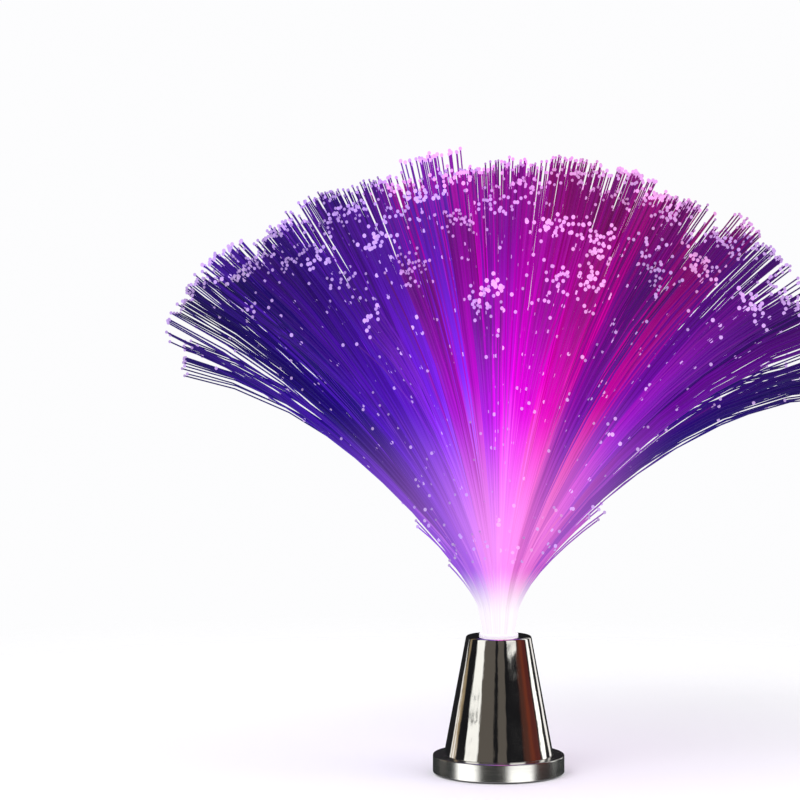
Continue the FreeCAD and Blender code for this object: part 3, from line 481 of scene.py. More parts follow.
def paintedGlowCollar(name):
    # white polypropylene with a painted glow that stands in for the light from inside: brightest at the
    # mouth, where the bundle comes out
    material, place = patternedMaterial(name)
    height = addNode(material, "SeparateXYZ", {0: place})
    # painted glow: emission that rises towards the mouth
    glow = addNode(material, "MapRange", {
        "Value": height.outputs["Z"], "From Min": 0.074, "From Max": 0.0795, "To Min": 0.02, "To Max": 0.45})
    grain = addNode(material, "TexNoise", {
        "Vector": place, "Scale": cyclesPerMetre(1.2), "Detail": 2.0})
    dull = addNode(material, "MapRange", {
        "Value": grain.outputs["Fac"], "To Min": 0.3, "To Max": 0.45})
    shader = addNode(material, "BsdfPrincipled", {
        "Base Color": linear("#d6d3da"), "Roughness": dull.outputs["Result"], "IOR": 1.49,
        "Emission Color": linear("#fbf4ff"), "Emission Strength": glow.outputs["Result"]})
    return closeMaterial(material, shader)


def clearAcrylic(name):
    # polished acrylic disc over the diodes: clear, with a faint haze
    material, place = patternedMaterial(name)
    haze = addNode(material, "TexNoise", {
        "Vector": place, "Scale": cyclesPerMetre(3), "Detail": 2.0})
    dull = addNode(material, "MapRange", {
        "Value": haze.outputs["Fac"], "To Min": 0.03, "To Max": 0.12})
    shader = addNode(material, "BsdfPrincipled", {
        "Base Color": linear("#f6f8fa"), "Roughness": dull.outputs["Result"], "IOR": 1.49,
        "Transmission Weight": 0.9})
    return closeMaterial(material, shader)


def litEpoxy(name, colour, glowColour):
    # tinted epoxy of a diode that is switched on: it glows most in its dome
    material, place = patternedMaterial(name)
    height = addNode(material, "SeparateXYZ", {0: place})
    glow = addNode(material, "MapRange", {
        "Value": height.outputs["Z"], "From Min": 0.044, "From Max": 0.0515, "To Min": 0.4, "To Max": 2.2})
    shader = addNode(material, "BsdfPrincipled", {
        "Base Color": linear(colour), "Roughness": 0.12, "IOR": 1.54, "Transmission Weight": 0.3,
        "Emission Color": linear(glowColour), "Emission Strength": glow.outputs["Result"]})
    return closeMaterial(material, shader)


# the light that leaks from the fibres: its hue from the spray's left side to its right
fibreLight = {
    "hues": [
        (0.00, "#240a88"), (0.20, "#5a18d0"), (0.36, "#8828f0"), (0.50, "#f000f0"), (0.65, "#dc00a4"),
        (0.82, "#8010b8"), (1.00, "#200870"),
    ],
    "gathered": 0.6,  # how near to the middle one the hues lie at the collar
    "edgePale": 0.3,  # share of the pale light that the outer fibres get
    # what joins the hue towards the tips, near the collar and at its mouth: tone, where along the
    # fibre it starts, where it is full, and its share there
    "tones": {
        "dim": ("#100430", 0.42, 0.97, 0.7), "pale": ("#ffa8ff", 0.6, 0.2, 0.72),
        "hot": ("#fff8ff", 0.17, 0.045, 0.96),
    },
    "tip": "#ecc8ff",  # joins the hue at the cut ends
    "tipShare": 0.55,
    "uneven": (0.45, 1.55),  # brightness of the dimmest and the brightest fibre away from the collar
    "unevenTip": (0.55, 1.5),
}


def litFibre(name):
    # clear acrylic fibre that leaks coloured light along its length, strongest near the collar
    material = emptyMaterial(name)
    along, side, shade = [addNode(material, "Attribute", attribute_name=key).outputs["Fac"]
                          for key in ("along", "side", "shade")]
    offCentre = addNode(material, "Math", {0: side, 1: 0.5}, operation="SUBTRACT").outputs[0]
    spread = addNode(material, "MapRange", {
        "Value": along, "From Min": 0.1, "From Max": 0.5, "To Min": fibreLight["gathered"], "To Max": 1.0})
    place = addNode(material, "Math", {0: offCentre, 1: spread.outputs["Result"], 2: 0.5},
                    operation="MULTIPLY_ADD")
    ramp = addNode(material, "ValToRGB", {"Fac": place.outputs[0]})
    colour = setRamp(ramp, fibreLight["hues"]).outputs["Color"]
    outwards = addNode(material, "Math", {0: offCentre}, operation="ABSOLUTE")
    paler = addNode(material, "MapRange", {
        "Value": outwards.outputs[0], "From Min": 0.08, "From Max": 0.42, "To Min": 1.0,
        "To Max": fibreLight["edgePale"]})
    for part, (tone, start, full, most) in fibreLight["tones"].items():
        reached = addNode(material, "MapRange", {
            "Value": along, "From Min": start, "From Max": full, "To Max": most},
            interpolation_type="SMOOTHSTEP")
        kept = paler.outputs["Result"] if part == "pale" else 1.0
        share = addNode(material, "Math", {0: reached.outputs["Result"], 1: kept},
                        operation="MULTIPLY")
        mixed = addNode(material, "Mix", {
            "Factor": share.outputs[0], 6: colour, 7: linear(tone)}, data_type="RGBA")
        colour = mixed.outputs[2]
    # the bundle is even where it is gathered
    inwards = addNode(material, "MapRange", {
        "Value": along, "From Min": 0.56, "From Max": 0.15, "To Max": 0.8}, interpolation_type="SMOOTHSTEP")
    dimmest, brightest = fibreLight["uneven"]
    uneven = addNode(material, "MapRange", {
        "Value": shade, "To Min": dimmest, "To Max": brightest})
    steady = addNode(material, "Mix", {
        "Factor": inwards.outputs["Result"], 2: uneven.outputs["Result"], 3: 1.0})
    shader = addNode(material, "BsdfPrincipled", {
        "Base Color": linear("#0c0612"), "Roughness": 0.3, "IOR": 1.49, "Specular IOR Level": 0.2,
        "Emission Color": colour, "Emission Strength": steady.outputs[0]})
    return closeMaterial(material, shader)


def litTip(name):
    # the cut end of a fibre, where most of its light comes out
    material = emptyMaterial(name)
    side, shade = [addNode(material, "Attribute", attribute_name=key).outputs["Fac"]
                   for key in ("side", "shade")]
    hue = setRamp(addNode(material, "ValToRGB", {"Fac": side}), fibreLight["hues"])
    colour = addNode(material, "Mix", {
        "Factor": fibreLight["tipShare"], 6: hue.outputs["Color"], 7: linear(fibreLight["tip"])},
        data_type="RGBA")
    dimmest, brightest = fibreLight["unevenTip"]
    strength = addNode(material, "MapRange", {
        "Value": shade, "To Min": dimmest, "To Max": brightest})
    shader = addNode(material, "BsdfPrincipled", {
        "Base Color": linear("#1c1024"), "Roughness": 0.25, "IOR": 1.49,
        "Emission Color": colour.outputs[2], "Emission Strength": strength.outputs["Result"]})
    return closeMaterial(material, shader)


def cellJacket(name):
    # plain shrink sleeve: dark body with a copper-coloured band at the positive end
    material = emptyMaterial(name)
    band = addNode(material, "Attribute", attribute_name="band")
    place = addNode(material, "TexCoord").outputs["Object"]
    scuff = addNode(material, "TexNoise", {
        "Vector": place, "Scale": cyclesPerMetre(1.5), "Detail": 3.0})
    tone = setRamp(addNode(material, "ValToRGB", {"Fac": band.outputs["Fac"]}), [
        (0.0, "#b9bcc0"), (0.02, "#b9bcc0"), (0.03, "#1d2024"), (0.74, "#1d2024"), (0.75, "#b5713a"),
        (0.96, "#b5713a"), (0.97, "#c4c6ca")])
    metal = setRamp(addNode(material, "ValToRGB", {"Fac": band.outputs["Fac"]}), [
        (0.0, "#ffffff"), (0.02, "#ffffff"), (0.03, "#303030"), (0.74, "#303030"), (0.75, "#c0c0c0")])
    dull = addNode(material, "MapRange", {
        "Value": scuff.outputs["Fac"], "To Min": 0.2, "To Max": 0.36})
    shader = addNode(material, "BsdfPrincipled", {
        "Base Color": tone.outputs["Color"], "Metallic": metal.outputs["Color"],
        "Roughness": dull.outputs["Result"]})
    return closeMaterial(material, shader)


def solderMask(name):
    # green lacquer over woven glass: a faint weave shows through the gloss
    material, place = patternedMaterial(name)
    weave, cross = [addNode(material, "TexWave", {
        "Vector": place, "Scale": cyclesPerMetre(1.6), "Distortion": 0.4},
        bands_direction=way) for way in "XY"]
    both = addNode(material, "Math", {0: weave.outputs["Fac"], 1: cross.outputs["Fac"]},
                   operation="MULTIPLY")
    tone = addNode(material, "Mix", {
        "Factor": both.outputs[0], 6: linear("#0f4a2a"), 7: linear("#1a6a3c")}, data_type="RGBA")
    shader = addNode(material, "BsdfPrincipled", {
        "Base Color": tone.outputs[2], "Roughness": 0.28, "IOR": 1.55})
    return closeMaterial(material, shader)


chrome = vacuumChrome("vacuumChrome")
satinRing = satinMetal("satinAluminium", "#dedddb", 0.2, 1.2, (0.06, 0.06, 1.0))
blackAbs = mouldedPlastic("texturedBlackAbs", "#29292c", 0.5)
doorAbs = mouldedPlastic("doorBlackAbs", "#2f2f33", 0.46)
knobNylon = mouldedPlastic("knobNylon", "#3a3a3e", 0.4, 0.4, 0.02)
footRubber = mouldedPlastic("softGreyRubber", "#4c4c4e", 0.82, 0.8, 0.05)
zincPlate = platedMetal("zincPlate", "#c9ccd0", 0.26)
nickelSteel = platedMetal("nickelSpringSteel", "#cfcbc2", 0.24)
tinnedLeg = platedMetal("tinnedCopper", "#d2d2d0", 0.3)
jacket = cellJacket("cellSleeve")
boardGreen = solderMask("solderMask")
chipEpoxy = mouldedPlastic("chipEpoxy", "#151517", 0.5, 0.3, 0.01)
resistorBody = mouldedPlastic("resistorGlaze", "#1e2126", 0.35, 0.3, 0.01)
switchSteel = platedMetal("switchFrameSteel", "#bfc2c4", 0.3)
redPvc = mouldedPlastic("redPvc", "#b0201c", 0.42, 0.5, 0.01)
blackPvc = mouldedPlastic("blackPvc", "#161618", 0.42, 0.5, 0.01)
whitePvc = mouldedPlastic("whitePvc", "#d8d8d4", 0.42, 0.5, 0.01)
# the collar's finish carries a painted glow, given by emission
collarPaintedGlow = paintedGlowCollar("polypropyleneWithPaintedGlow")
windowClear = clearAcrylic("clearAcrylic")
epoxies = {
    "led_red": litEpoxy("redEpoxy", "#d03030", "#ff3020"),
    "led_green": litEpoxy("greenEpoxy", "#30b050", "#30ff60"),
    "led_blue": litEpoxy("blueEpoxy", "#3050d0", "#3048ff"),
}
fibreGlow = litFibre("litAcrylicFibre")
tipGlow = litTip("litFibreTip")
print("stage: finishes")


# the ring and the cone

casing = {
    "turns": 160,  # steps round the lathe
    "ringRadius": 37.48, "ringInner": 35.48, "ringLow": 0.8, "ringTop": 10.8, "lipUnder": 9.2,
    "ringSeat": 30.58, "ledge": 34.28, "plateTop": 3.4, "ringEdge": 0.7, "smallEdge": 0.3,
    "coneFoot": 31.13, "coneTop": 18.5, "height": 78.5, "topEdge": 1.3, "footEdge": 0.25,
    "innerFoot": 29.53, "spigot": 30.38, "spigotEnd": 8.9,
    "ceiling": 76.5, "ceilingRadius": 17.27, "sleeveBore": 10.2, "sleeveOuter": 11.6, "boardTop": 43.2,
    "bossRadius": 3.0, "bossBore": 1.4, "bossTop": 18.0, "bossPlace": (23.18, 13.0),
    "boardFootRadius": 2.4, "boardFootBore": 1.0, "boardFootTop": 49.2, "boardFootPlace": 13.2,
    "postTurns": 24,
}


def makeRing():
    c = casing
    outline = [
        (c["ringInner"], c["ringLow"]), (c["ringRadius"], c["ringLow"]), (c["ringRadius"], c["ringTop"]),
        (c["ringSeat"], c["ringTop"]), (c["ringSeat"], c["lipUnder"]), (c["ledge"], c["lipUnder"]),
        (c["ledge"], c["plateTop"]), (c["ringInner"], c["plateTop"]),
    ]
    shape = latheShape(outline, c["turns"], {2: (c["ringEdge"], 4), 1: (c["smallEdge"], 2)})
    newPiece("satinRing", shape, "base", [satinRing], ["base_ring"])


def addPost(shape, x, y, low, high, outer, bore):
    # a moulded screw boss
    post = latheShape([(bore, low), (outer, low), (outer, high), (bore, high)], casing["postTurns"])
    bmesh.ops.translate(post, verts=post.verts[:], vec=Vector((x, y, 0)) * mm)
    addShape(shape, post)
    post.free()


def makeCone():
    c = casing
    outline = [
        (c["innerFoot"], c["spigotEnd"]), (c["spigot"], c["spigotEnd"]), (c["spigot"], c["ringTop"]),
        (c["coneFoot"], c["ringTop"]), (c["coneTop"], c["height"]), (c["sleeveBore"], c["height"]),
        (c["sleeveBore"], c["boardTop"]), (c["sleeveOuter"], c["boardTop"]), (c["sleeveOuter"], c["ceiling"]),
        (c["ceilingRadius"], c["ceiling"]), (c["innerFoot"], c["ringTop"]),
    ]
    shape = latheShape(outline, c["turns"], {
        4: (c["topEdge"], 6), 3: (c["footEdge"], 3), 5: (c["smallEdge"], 2)})
    x, y = c["bossPlace"]
    for sx, sy in corners:
        addPost(shape, x * sx, y * sy, c["plateTop"], c["bossTop"], c["bossRadius"], c["bossBore"])
    for side in (-1, 1):
        addPost(shape, 0, c["boardFootPlace"] * side, c["boardTop"], c["boardFootTop"],
                c["boardFootRadius"], c["boardFootBore"])
    newPiece("chromeShell", shape, "base", [chrome], ["chrome_cone"], 30)


makeRing()
makeCone()
dressNodes(bottom_plate=blackAbs, battery_door=doorAbs)
print("stage: casing")


# feet and screws

feet = {"place": 22.12, "radius": 3.5, "high": 1.2, "edge": 0.45}
screws = {
    # head radius and thickness, shank radius, length, pitch, and the size of the cross in the head
    "housing": (2.6, 1.0, 1.25, 11.6, 1.0, 1.0),
    "door": (2.6, 1.0, 1.25, 4.0, 1.0, 1.0),
    "board": (1.6, 0.8, 0.88, 4.4, 0.7, 0.62),
    "root": 0.8,  # radius between the threads, as a share of the shank's
    "crossLong": 3.0, "crossWide": 0.62, "crossDeep": 0.55,
    "housingSeat": 2.4,  # height of the face that the heads bear on
    "boardUnder": 41.6,  # and of the one under the board
    "housingSpin": (0.4, 0.9),  # the crosses stand at any angle, as driven screws do
    "boardSpin": 0.7,
}


def makeFeet():
    shape = bmesh.new()
    f = feet
    foot = latheShape([(0, 0), (f["radius"], 0), (f["radius"], f["high"]), (0, f["high"])], 40,
                      {1: (f["edge"], 4)})
    for sx, sy in corners:
        addShape(shape, foot, Matrix.Translation(Vector((f["place"] * sx, f["place"] * sy, 0)) * mm))
    foot.free()
    newPiece("rubberFeet", shape, "base", [footRubber], ["foot_pads"])


def cutAway(solid, cutter):
    # subtracts one shape from another
    body, tool = [addObject(name, meshFrom(name, part))
                  for name, part in (("solid", solid), ("cutter", cutter))]
    cut = body.modifiers.new("cut", "BOOLEAN")
    cut.operation = "DIFFERENCE"
    cut.solver = "EXACT"
    cut.use_self = True
    cut.object = tool
    bpy.context.view_layer.update()
    done = bpy.data.meshes.new_from_object(body.evaluated_get(bpy.context.evaluated_depsgraph_get()))
    result = bmesh.new()
    result.from_mesh(done)
    for holder in (body, tool):
        mesh = holder.data
        bpy.data.objects.remove(holder)
        bpy.data.meshes.remove(mesh)
    bpy.data.meshes.remove(done)
    return result


def screwShape(kind):
    # a pan-head screw driven upwards: the head is below z = 0 and the tip points up
    s = screws
    headRadius, headThick, shank, long, pitch, crossSize = s[kind]
    root = shank * s["root"]
    outline = [(0, -headThick), (headRadius, -headThick), (headRadius, 0), (root, 0)]
    z = pitch * 0.5
    while z < long - pitch:
        outline += [(root, z), (shank, z + pitch * 0.2), (root, z + pitch * 0.4)]
        z += pitch
    outline += [(root, long - pitch), (0, long)]
    screw = latheShape(outline, 24, {1: (headThick * 0.5, 4)})
    # a cross recess is pressed into the face of the head
    cross = bmesh.new()
    scale = crossSize * mm
    bar = Matrix.Diagonal((s["crossLong"] * scale, s["crossWide"] * scale, s["crossDeep"] * 2 * scale, 1))
    for turn in (0, math.pi / 2):
        bmesh.ops.create_cube(cross, size=1.0, matrix=Matrix.Rotation(turn, 4, "Z") @ bar)
    bmesh.ops.translate(cross, verts=cross.verts[:], vec=(0, 0, -headThick * mm))
    return cutAway(screw, cross)


def makeScrews():
    s = screws
    x, y = casing["bossPlace"]
    spinX, spinY = s["housingSpin"]
    screw = screwShape("housing")
    shape = bmesh.new()
    for sx, sy in corners:
        spot = Matrix.Translation(Vector((x * sx, y * sy, s["housingSeat"])) * mm)
        addShape(shape, screw, spot @ Matrix.Rotation(spinX * sx + spinY * sy, 4, "Z"))
    screw.free()
    newPiece("housingScrews", shape, "base", [zincPlate], ["housing_screws"], 30)
    low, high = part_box("door_screw")
    screw = screwShape("door")
    headThick = s["door"][1]
    bmesh.ops.translate(screw, verts=screw.verts[:],
                        vec=((low.x + high.x) / 2, (low.y + high.y) / 2, low.z + headThick * mm))
    newPiece("doorScrew", screw, "door", [zincPlate], ["door_screw"], 30)
    screw = screwShape("board")
    shape = bmesh.new()
    for side in (-1, 1):
        spot = Matrix.Translation(Vector((0, casing["boardFootPlace"] * side, s["boardUnder"])) * mm)
        addShape(shape, screw, spot @ Matrix.Rotation(s["boardSpin"] * side, 4, "Z"))
    screw.free()
    newPiece("boardScrews", shape, "base", [zincPlate], ["board_screws"], 30)


makeFeet()
makeScrews()
print("stage: feet and screws")


# batteries, springs, contacts and switch

power = {
    "cellRadius": 5.25, "canEdge": 0.6, "cellLong": 44.5, "cellX": 10.7, "cellZ": 8.45,
    "nubRadius": 1.9, "nubLong": 1.0, "nubEdge": 0.3, "nubFoot": 2.85, "nubStep": 0.1,
    "contactFace": 23.2, "springLong": 1.9,
    "springRadius": 2.75, "springTip": 1.45, "springWire": 0.24, "coilTurns": 2.4, "coilSteps": 44,
    "rows": [(-1, 1), (0, -1), (1, 1)],  # of the cells: place across, and which way the nub points
    "bands": [0.03, 0.06, 0.744, 0.756, 0.968],  # where the sleeve's colours change, along the cell
}


def cellShape():
    # one cell standing on its flat end, with its length kept as an attribute for the sleeve's colours
    p = power
    can = p["cellLong"] - p["nubLong"]
    outline = [(0, 0), (p["cellRadius"], 0), (p["cellRadius"], can), (p["nubFoot"], can),
               (p["nubRadius"], can + p["nubStep"]), (p["nubRadius"], p["cellLong"]), (0, p["cellLong"])]
    shape = latheShape(outline, 40, {1: (p["canEdge"], 3), 2: (p["canEdge"], 3), 5: (p["nubEdge"], 2)})
    for share in p["bands"]:
        level = Vector((0, 0, share * p["cellLong"] * mm))
        bmesh.ops.bisect_plane(shape, geom=shape.verts[:] + shape.edges[:] + shape.faces[:],
                               plane_co=level, plane_no=(0, 0, 1))
    layer = shape.verts.layers.float.new("band")
    for v in shape.verts:
        v[layer] = v.co.z / (p["cellLong"] * mm)
    return shape


def makeCells():
    p = power
    for number, (column, turn) in enumerate(p["rows"], start=1):
        shape = cellShape()
        foot = Vector((p["cellX"] * column, (p["contactFace"] - p["cellLong"]) * turn, p["cellZ"])) * mm
        lay = Matrix.Translation(foot) @ Matrix.Rotation(-math.pi / 2 * turn, 4, "X")
        bmesh.ops.transform(shape, matrix=lay, verts=shape.verts[:])
        newPiece(f"cell{number}", shape, "base", [jacket], [f"battery_{number}"], 30)


def makeSprings():
    p = power
    paths = []
    for column, turn in p["rows"]:
        path = []
        for i in range(p["coilSteps"] + 1):
            share = i / p["coilSteps"]
            angle = 2 * math.pi * p["coilTurns"] * share
            reach = p["springRadius"] + (p["springTip"] - p["springRadius"]) * share
            rise = p["springWire"] + (p["springLong"] - p["springWire"] * 2) * share
            path.append(Vector((p["cellX"] * column + reach * math.cos(angle),
                                (rise - p["contactFace"]) * turn, p["cellZ"] + reach * math.sin(angle))))
        paths.append(path)
    shape = tubeShape("batterySprings", paths, p["springWire"], 1)
    newPiece("batterySprings", shape, "base", [nickelSteel], ["battery_springs"], 60, False)


makeCells()
makeSprings()
dressNodes(contact_plates=nickelSteel, switch_body=switchSteel, switch_knob=knobNylon,
           switch_terminals=tinnedLeg)
print("stage: batteries and switch")


# the diodes and their board

lampBoard = {
    "ledRadius": 2.5, "rimRadius": 2.9, "rimThick": 1.0, "ledHigh": 8.6, "edge": 0.15, "domeSteps": 8,
    "legApart": 2.54, "legWide": 0.5, "legLong": 3.3, "legMiddle": 42.0,
}


def makeLeds():
    b = lampBoard
    shoulder = b["ledHigh"] - b["ledRadius"]
    angles = [math.pi / 2 * i / b["domeSteps"] for i in range(b["domeSteps"])]
    dome = [(b["ledRadius"] * math.cos(a), shoulder + b["ledRadius"] * math.sin(a)) for a in angles]
    outline = [(0, 0), (b["rimRadius"], 0), (b["rimRadius"], b["rimThick"]), (b["ledRadius"], b["rimThick"])]
    legSize = Matrix.Diagonal((b["legWide"] * mm, b["legWide"] * mm, b["legLong"] * mm, 1))
    for name, epoxy in epoxies.items():
        low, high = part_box(name)
        middle = Vector(((low.x + high.x) / 2, (low.y + high.y) / 2, 0))
        shape = latheShape(outline + dome + [(0, b["ledHigh"])], 32, {1: (b["edge"], 2), 2: (b["edge"], 2)})
        bmesh.ops.translate(shape, verts=shape.verts[:],
                            vec=middle + Vector((0, 0, casing["boardTop"] * mm)))
        before = len(shape.faces)
        for side in (-0.5, 0.5):
            spot = middle + Vector((b["legApart"] * side, 0, b["legMiddle"])) * mm
            bmesh.ops.create_cube(shape, size=1.0, matrix=Matrix.Translation(spot) @ legSize)
        shape.faces.ensure_lookup_table()
        for face in shape.faces[before:]:
            face.material_index = 1
        newPiece("diode" + name.split("_")[1].title(), shape, "base", [epoxy, tinnedLeg], [name], 40)


makeLeds()
dressNodes(led_board=boardGreen, controller_chip=chipEpoxy, resistors=resistorBody)
dressNodes(wire_positive=redPvc, wire_negative=blackPvc, wire_switched=whitePvc)
print("stage: lamp board")


# collar and window

collar = {
    "outer": 10.0, "lip": 11.1, "bore": 9.0, "low": 55.0, "seat": 78.5, "top": 79.9,
    "mouth": 9.9, "mouthDeep": 1.1, "lipEdge": 0.55, "edge": 0.3,
    "windowTop": 57.0, "windowRadius": 8.95, "windowEdge": 0.15,
}


def makeCollar():
    c = collar
    outline = [
        (c["bore"], c["low"]), (c["outer"], c["low"]), (c["outer"], c["seat"]), (c["lip"], c["seat"]),
        (c["lip"], c["top"]), (c["mouth"], c["top"]), (c["bore"], c["top"] - c["mouthDeep"]),
    ]
    shape = latheShape(outline, 96, {4: (c["lipEdge"], 4), 5: (c["edge"], 2), 1: (c["edge"], 2)})
    newPiece("collar", shape, "spray", [collarPaintedGlow], ["fibre_collar"])
    outline = [(0, c["low"]), (c["windowRadius"], c["low"]), (c["windowRadius"], c["windowTop"]),
               (0, c["windowTop"])]
    disc = latheShape(outline, 64, {1: (c["windowEdge"], 2), 2: (c["windowEdge"], 2)})
    newPiece("lightWindow", disc, "spray", [windowClear], ["light_window"])


makeCollar()
print("stage: collar and window")


# the fibre spray

spray = {
    "count": 5000,
    "strays": 240,
    "seed": 11,
    # thickness in the collar and in the open: real ones are thinner, and these are drawn as coarse as
    # they need to show
    "bundleFibre": 0.22,
    "openFibre": 0.8,
    "thickening": 0.11,  # share of the open thickness that each point adds
    "points": 11,  # along each fibre
    "tipRadius": 1.2,  # of the bead at a cut end, which is as large as its glare
    "tipSizes": (0.55, 0.5),  # the smallest bead's share, and what the brightest adds
    "bundleRadius": 8.7,  # in the collar
    "start": 57.0,  # the polished foot of the bundle
    "collarTop": 79.9,
    "longest": 276.4,  # from the collar to the tip of the longest fibre
    "domed": 0.03,  # share by which the outermost are shorter
    # how the fibres are cut: up to this draw, the least and the most of the full length that is kept
    "cuts": [(0.55, 0.99, 1.0), (0.67, 0.89, 0.99), (0.85, 0.62, 0.89), (1.0, 0.36, 0.62)],
    "fan": 37.5,  # degrees that the outermost fibres lean soon after the collar
    "bend": 22.0,  # how soon they reach it
    "droop": 27.0,  # further degrees that their own weight adds by the tip
    "droopRise": 1.5,  # how late it sets in
    "steps": 60,  # that a fibre's line is worked out in
    "crowding": 1.35,  # how much closer its points are near the collar
    "fibreDroop": 2.6,  # how much that differs from fibre to fibre
    "fibreSway": 2.0,
    "scatter": 0.018,  # of the fibres about their tuft
    "spreading": 0.94,  # below 1 brings the inner fibres further out
    "outermost": 1.06,  # how far out a fibre may be headed
    "hueReach": 1.03,  # and how far out the hues end
    "cutBacks": 20,  # tries at cutting a fibre back to the reach
    "reach": 186.4,  # no tip goes further out than this
    "ragged": 0.022,  # share by which the tips at that limit fall short of it, so that they don't line up
    # each tuft has its own place, droop, length, tint and sway
    "tufts": 120,
    "tuftShift": 0.06,
    "tuftDroop": 5.5,
    "tuftCut": (0.965, 1.0),
    "tuftTint": 0.045,
    "tuftSway": 4.5,
    "pull": 0.8,  # how far a tuft gathers its fibres
    "pullMiddle": 0.35,  # share of it in the middle of the bundle
    "pullUneven": (0.75, 1.15),
    "pullMost": 0.92,
    "ownShade": 0.4,  # share of a fibre's brightness that isn't its tuft's
    # the outermost tufts hang lower, most of all on the right
    "sagLeft": 7.0,
    "sagRight": 22.0,
    "sagFrom": 0.62,
    "sagOver": 0.3,
    # loose fibres from the outside of the bundle
    "strayPlace": (0.72, 0.98),
    "strayLong": (44, 94),
    "strayFan": (34, 50),
    "strayDroop": (20, 90),
}
golden = math.pi * (3 - math.sqrt(5))


def sunflower(index, count):
    # evenly spread places in a disc of radius 1
    reach = math.sqrt((index + 0.5) / count)
    return Vector((reach * math.cos(index * golden), reach * math.sin(index * golden)))


def fibreLength(dice, share):
    # most fibres are cut near full length, and some are much shorter
    draw = dice.random()
    least, most = next((least, most) for limit, least, most in spray["cuts"] if draw < limit)
    return spray["longest"] * (1 - spray["domed"] * share) * dice.uniform(least, most)


def fibrePath(start, target, length, fan, droop, sway):
    # straight in the collar, then leaning outwards and drooping
    s = spray
    share = target.length
    heading = target.normalized() if share > 1e-6 else Vector((1, 0))
    place = Vector((start.x * s["bundleRadius"], start.y * s["bundleRadius"], s["collarTop"]))
    points = [Vector((place.x, place.y, s["start"])), place.copy()]
    marks = [length * (i / (s["points"] - 2)) ** s["crowding"] for i in range(1, s["points"] - 1)]
    steps = s["steps"]
    for i in range(steps):
        middle = (i + 0.5) * length / steps
        lean = fan * (1 - math.exp(-middle / s["bend"])) + droop * (middle / s["longest"]) ** s["droopRise"]
        angle = math.radians(lean) * share
        way = Vector((heading.x * math.sin(angle), heading.y * math.sin(angle), math.cos(angle)))
        place = place + way * (length / steps)
        travelled = (i + 1) * length / steps
        while marks and travelled >= marks[0] - 1e-6:
            marks.pop(0)
            points.append(place + sway * (travelled / s["longest"]) ** 2)
    return points


def randomSway(dice, most):
    return Vector((dice.gauss(0, most), dice.gauss(0, most), 0))


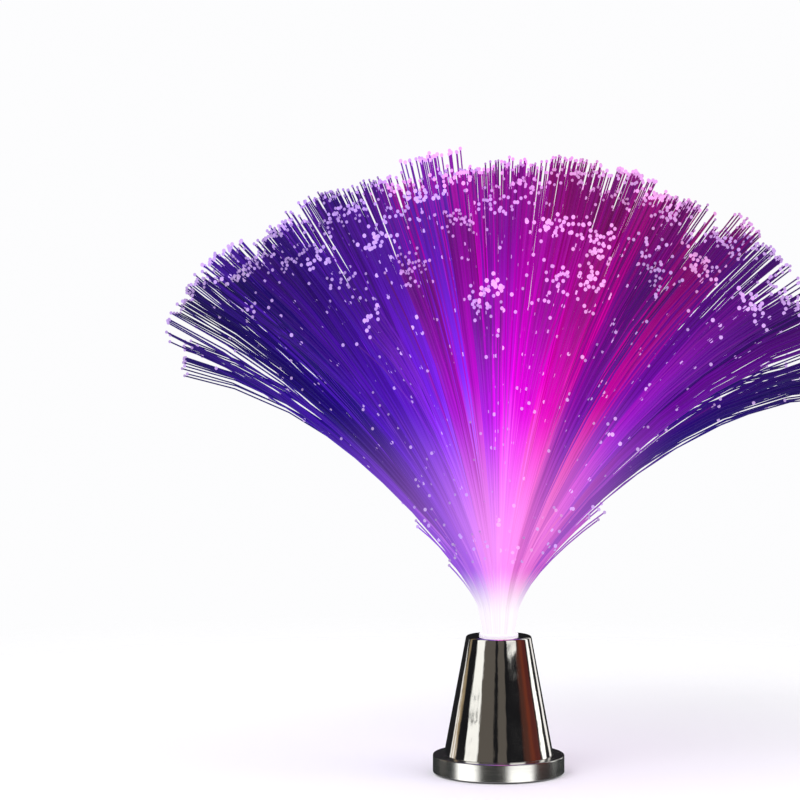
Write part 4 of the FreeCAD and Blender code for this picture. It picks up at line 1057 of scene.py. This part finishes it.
def layFibres():
    s = spray
    dice = random.Random(s["seed"])
    tufts = []
    shift = s["tuftShift"]
    for i in range(s["tufts"]):
        spot = sunflower(i, s["tufts"]) + Vector((dice.uniform(-shift, shift), dice.uniform(-shift, shift)))
        sag = s["sagRight"] if spot.x > 0 else s["sagLeft"]
        hang = sag * min(1.0, max(0.0, (abs(spot.x) - s["sagFrom"]) / s["sagOver"]))
        tufts.append({
            "spot": spot, "droop": dice.gauss(0, s["tuftDroop"]) + hang,
            "cut": dice.uniform(*s["tuftCut"]), "shade": dice.random(),
            "tint": dice.gauss(0, s["tuftTint"]), "sway": randomSway(dice, s["tuftSway"]),
        })
    fibres = []
    for i in range(s["count"] + s["strays"]):
        stray = i >= s["count"]
        start = sunflower(i, s["count"])
        if stray:
            start = start.normalized() * dice.uniform(*s["strayPlace"])
        tuft = min(tufts, key=lambda t: (t["spot"] - start).length)
        gathered = s["pullMiddle"] + (1 - s["pullMiddle"]) * start.length
        pull = s["pull"] * gathered * dice.uniform(*s["pullUneven"])
        target = start.lerp(tuft["spot"], min(pull, s["pullMost"]))
        target += Vector((dice.gauss(0, s["scatter"]), dice.gauss(0, s["scatter"])))
        target *= min(s["outermost"], target.length ** s["spreading"]) / target.length
        length = fibreLength(dice, start.length) * tuft["cut"]
        fan = s["fan"]
        droop = s["droop"] + tuft["droop"] + dice.gauss(0, s["fibreDroop"])
        if stray:
            length, fan, droop = [dice.uniform(*s[key]) for key in ("strayLong", "strayFan", "strayDroop")]
        sway = tuft["sway"] + randomSway(dice, s["fibreSway"])
        points = fibrePath(start, target, length, fan, droop, sway)
        limit = s["reach"] * (1 - s["ragged"] * (0.5 * dice.random() + 1 - tuft["shade"]))
        # a fibre that comes out too far is cut back
        for attempt in range(s["cutBacks"]):
            over = max(abs(points[-1].x), abs(points[-1].y)) / limit
            if over <= 1:
                break
            length *= 0.999 * over ** -0.75
            points = fibrePath(start, target, length, fan, droop, sway)
        fibres.append({
            "ring": min(5, max(1, math.ceil(start.length * 5))), "points": points,
            "side": 0.5 + 0.5 * target.x / s["hueReach"] + tuft["tint"],
            "shade": s["ownShade"] * dice.random() + (1 - s["ownShade"]) * tuft["shade"],
        })
    return fibres


def fibreTubes(name, group):
    # square-sided tubes, too thin to need more sides, with each fibre's values kept on its points
    s = spray
    thin = s["bundleFibre"] / s["openFibre"]
    taper = [min(1.0, thin + max(0, k - 1) * s["thickening"]) for k in range(s["points"])]
    shape = tubeShape(name, [f["points"] for f in group], s["openFibre"] / 2, 0, taper)
    finder = KDTree(len(group) * s["points"])
    for n, f in enumerate(group):
        for place in f["points"]:
            finder.insert(place * mm, n)
    finder.balance()
    layers = {key: shape.verts.layers.float.new(key) for key in ("side", "along", "shade")}
    mouth = Vector((0, 0, s["collarTop"])) * mm
    for v in shape.verts:
        f = group[finder.find(v.co)[1]]
        v[layers["side"]] = f["side"]
        v[layers["shade"]] = f["shade"]
        v[layers["along"]] = (v.co - mouth).length / (s["longest"] * mm) if v.co.z > mouth.z else 0.0
    return shape


def makeFibres(fibres):
    for ring in range(1, 6):
        group = [f for f in fibres if f["ring"] == ring]
        names = [f"fibre_ring_{ring}"] + (["fibre_centre"] if ring == 1 else [])
        shape = fibreTubes(f"fibres{ring}", group)
        newPiece(f"fibres{ring}", shape, "spray", [fibreGlow], names, 180, False)
        print(f"  ring {ring}: {len(group)} fibres")


def makeTips(fibres):
    # one small bead for each cut end
    s = spray
    smallest, added = s["tipSizes"]
    bead = bmesh.new()
    bmesh.ops.create_uvsphere(bead, u_segments=6, v_segments=4, radius=s["tipRadius"] * mm)
    layers = {key: bead.verts.layers.float.new(key) for key in ("side", "shade")}
    shape = bmesh.new()
    for f in fibres:
        for v in bead.verts:
            v[layers["side"]] = f["side"]
            v[layers["shade"]] = f["shade"]
        size = Matrix.Scale(smallest + added * f["shade"], 4)
        addShape(shape, bead, Matrix.Translation(f["points"][-1] * mm) @ size)
    bead.free()
    newPiece("fibreTips", shape, "spray", [tipGlow], [], 180, False)


allFibres = layFibres()
makeFibres(allFibres)
makeTips(allFibres)
print("stage: fibre spray")
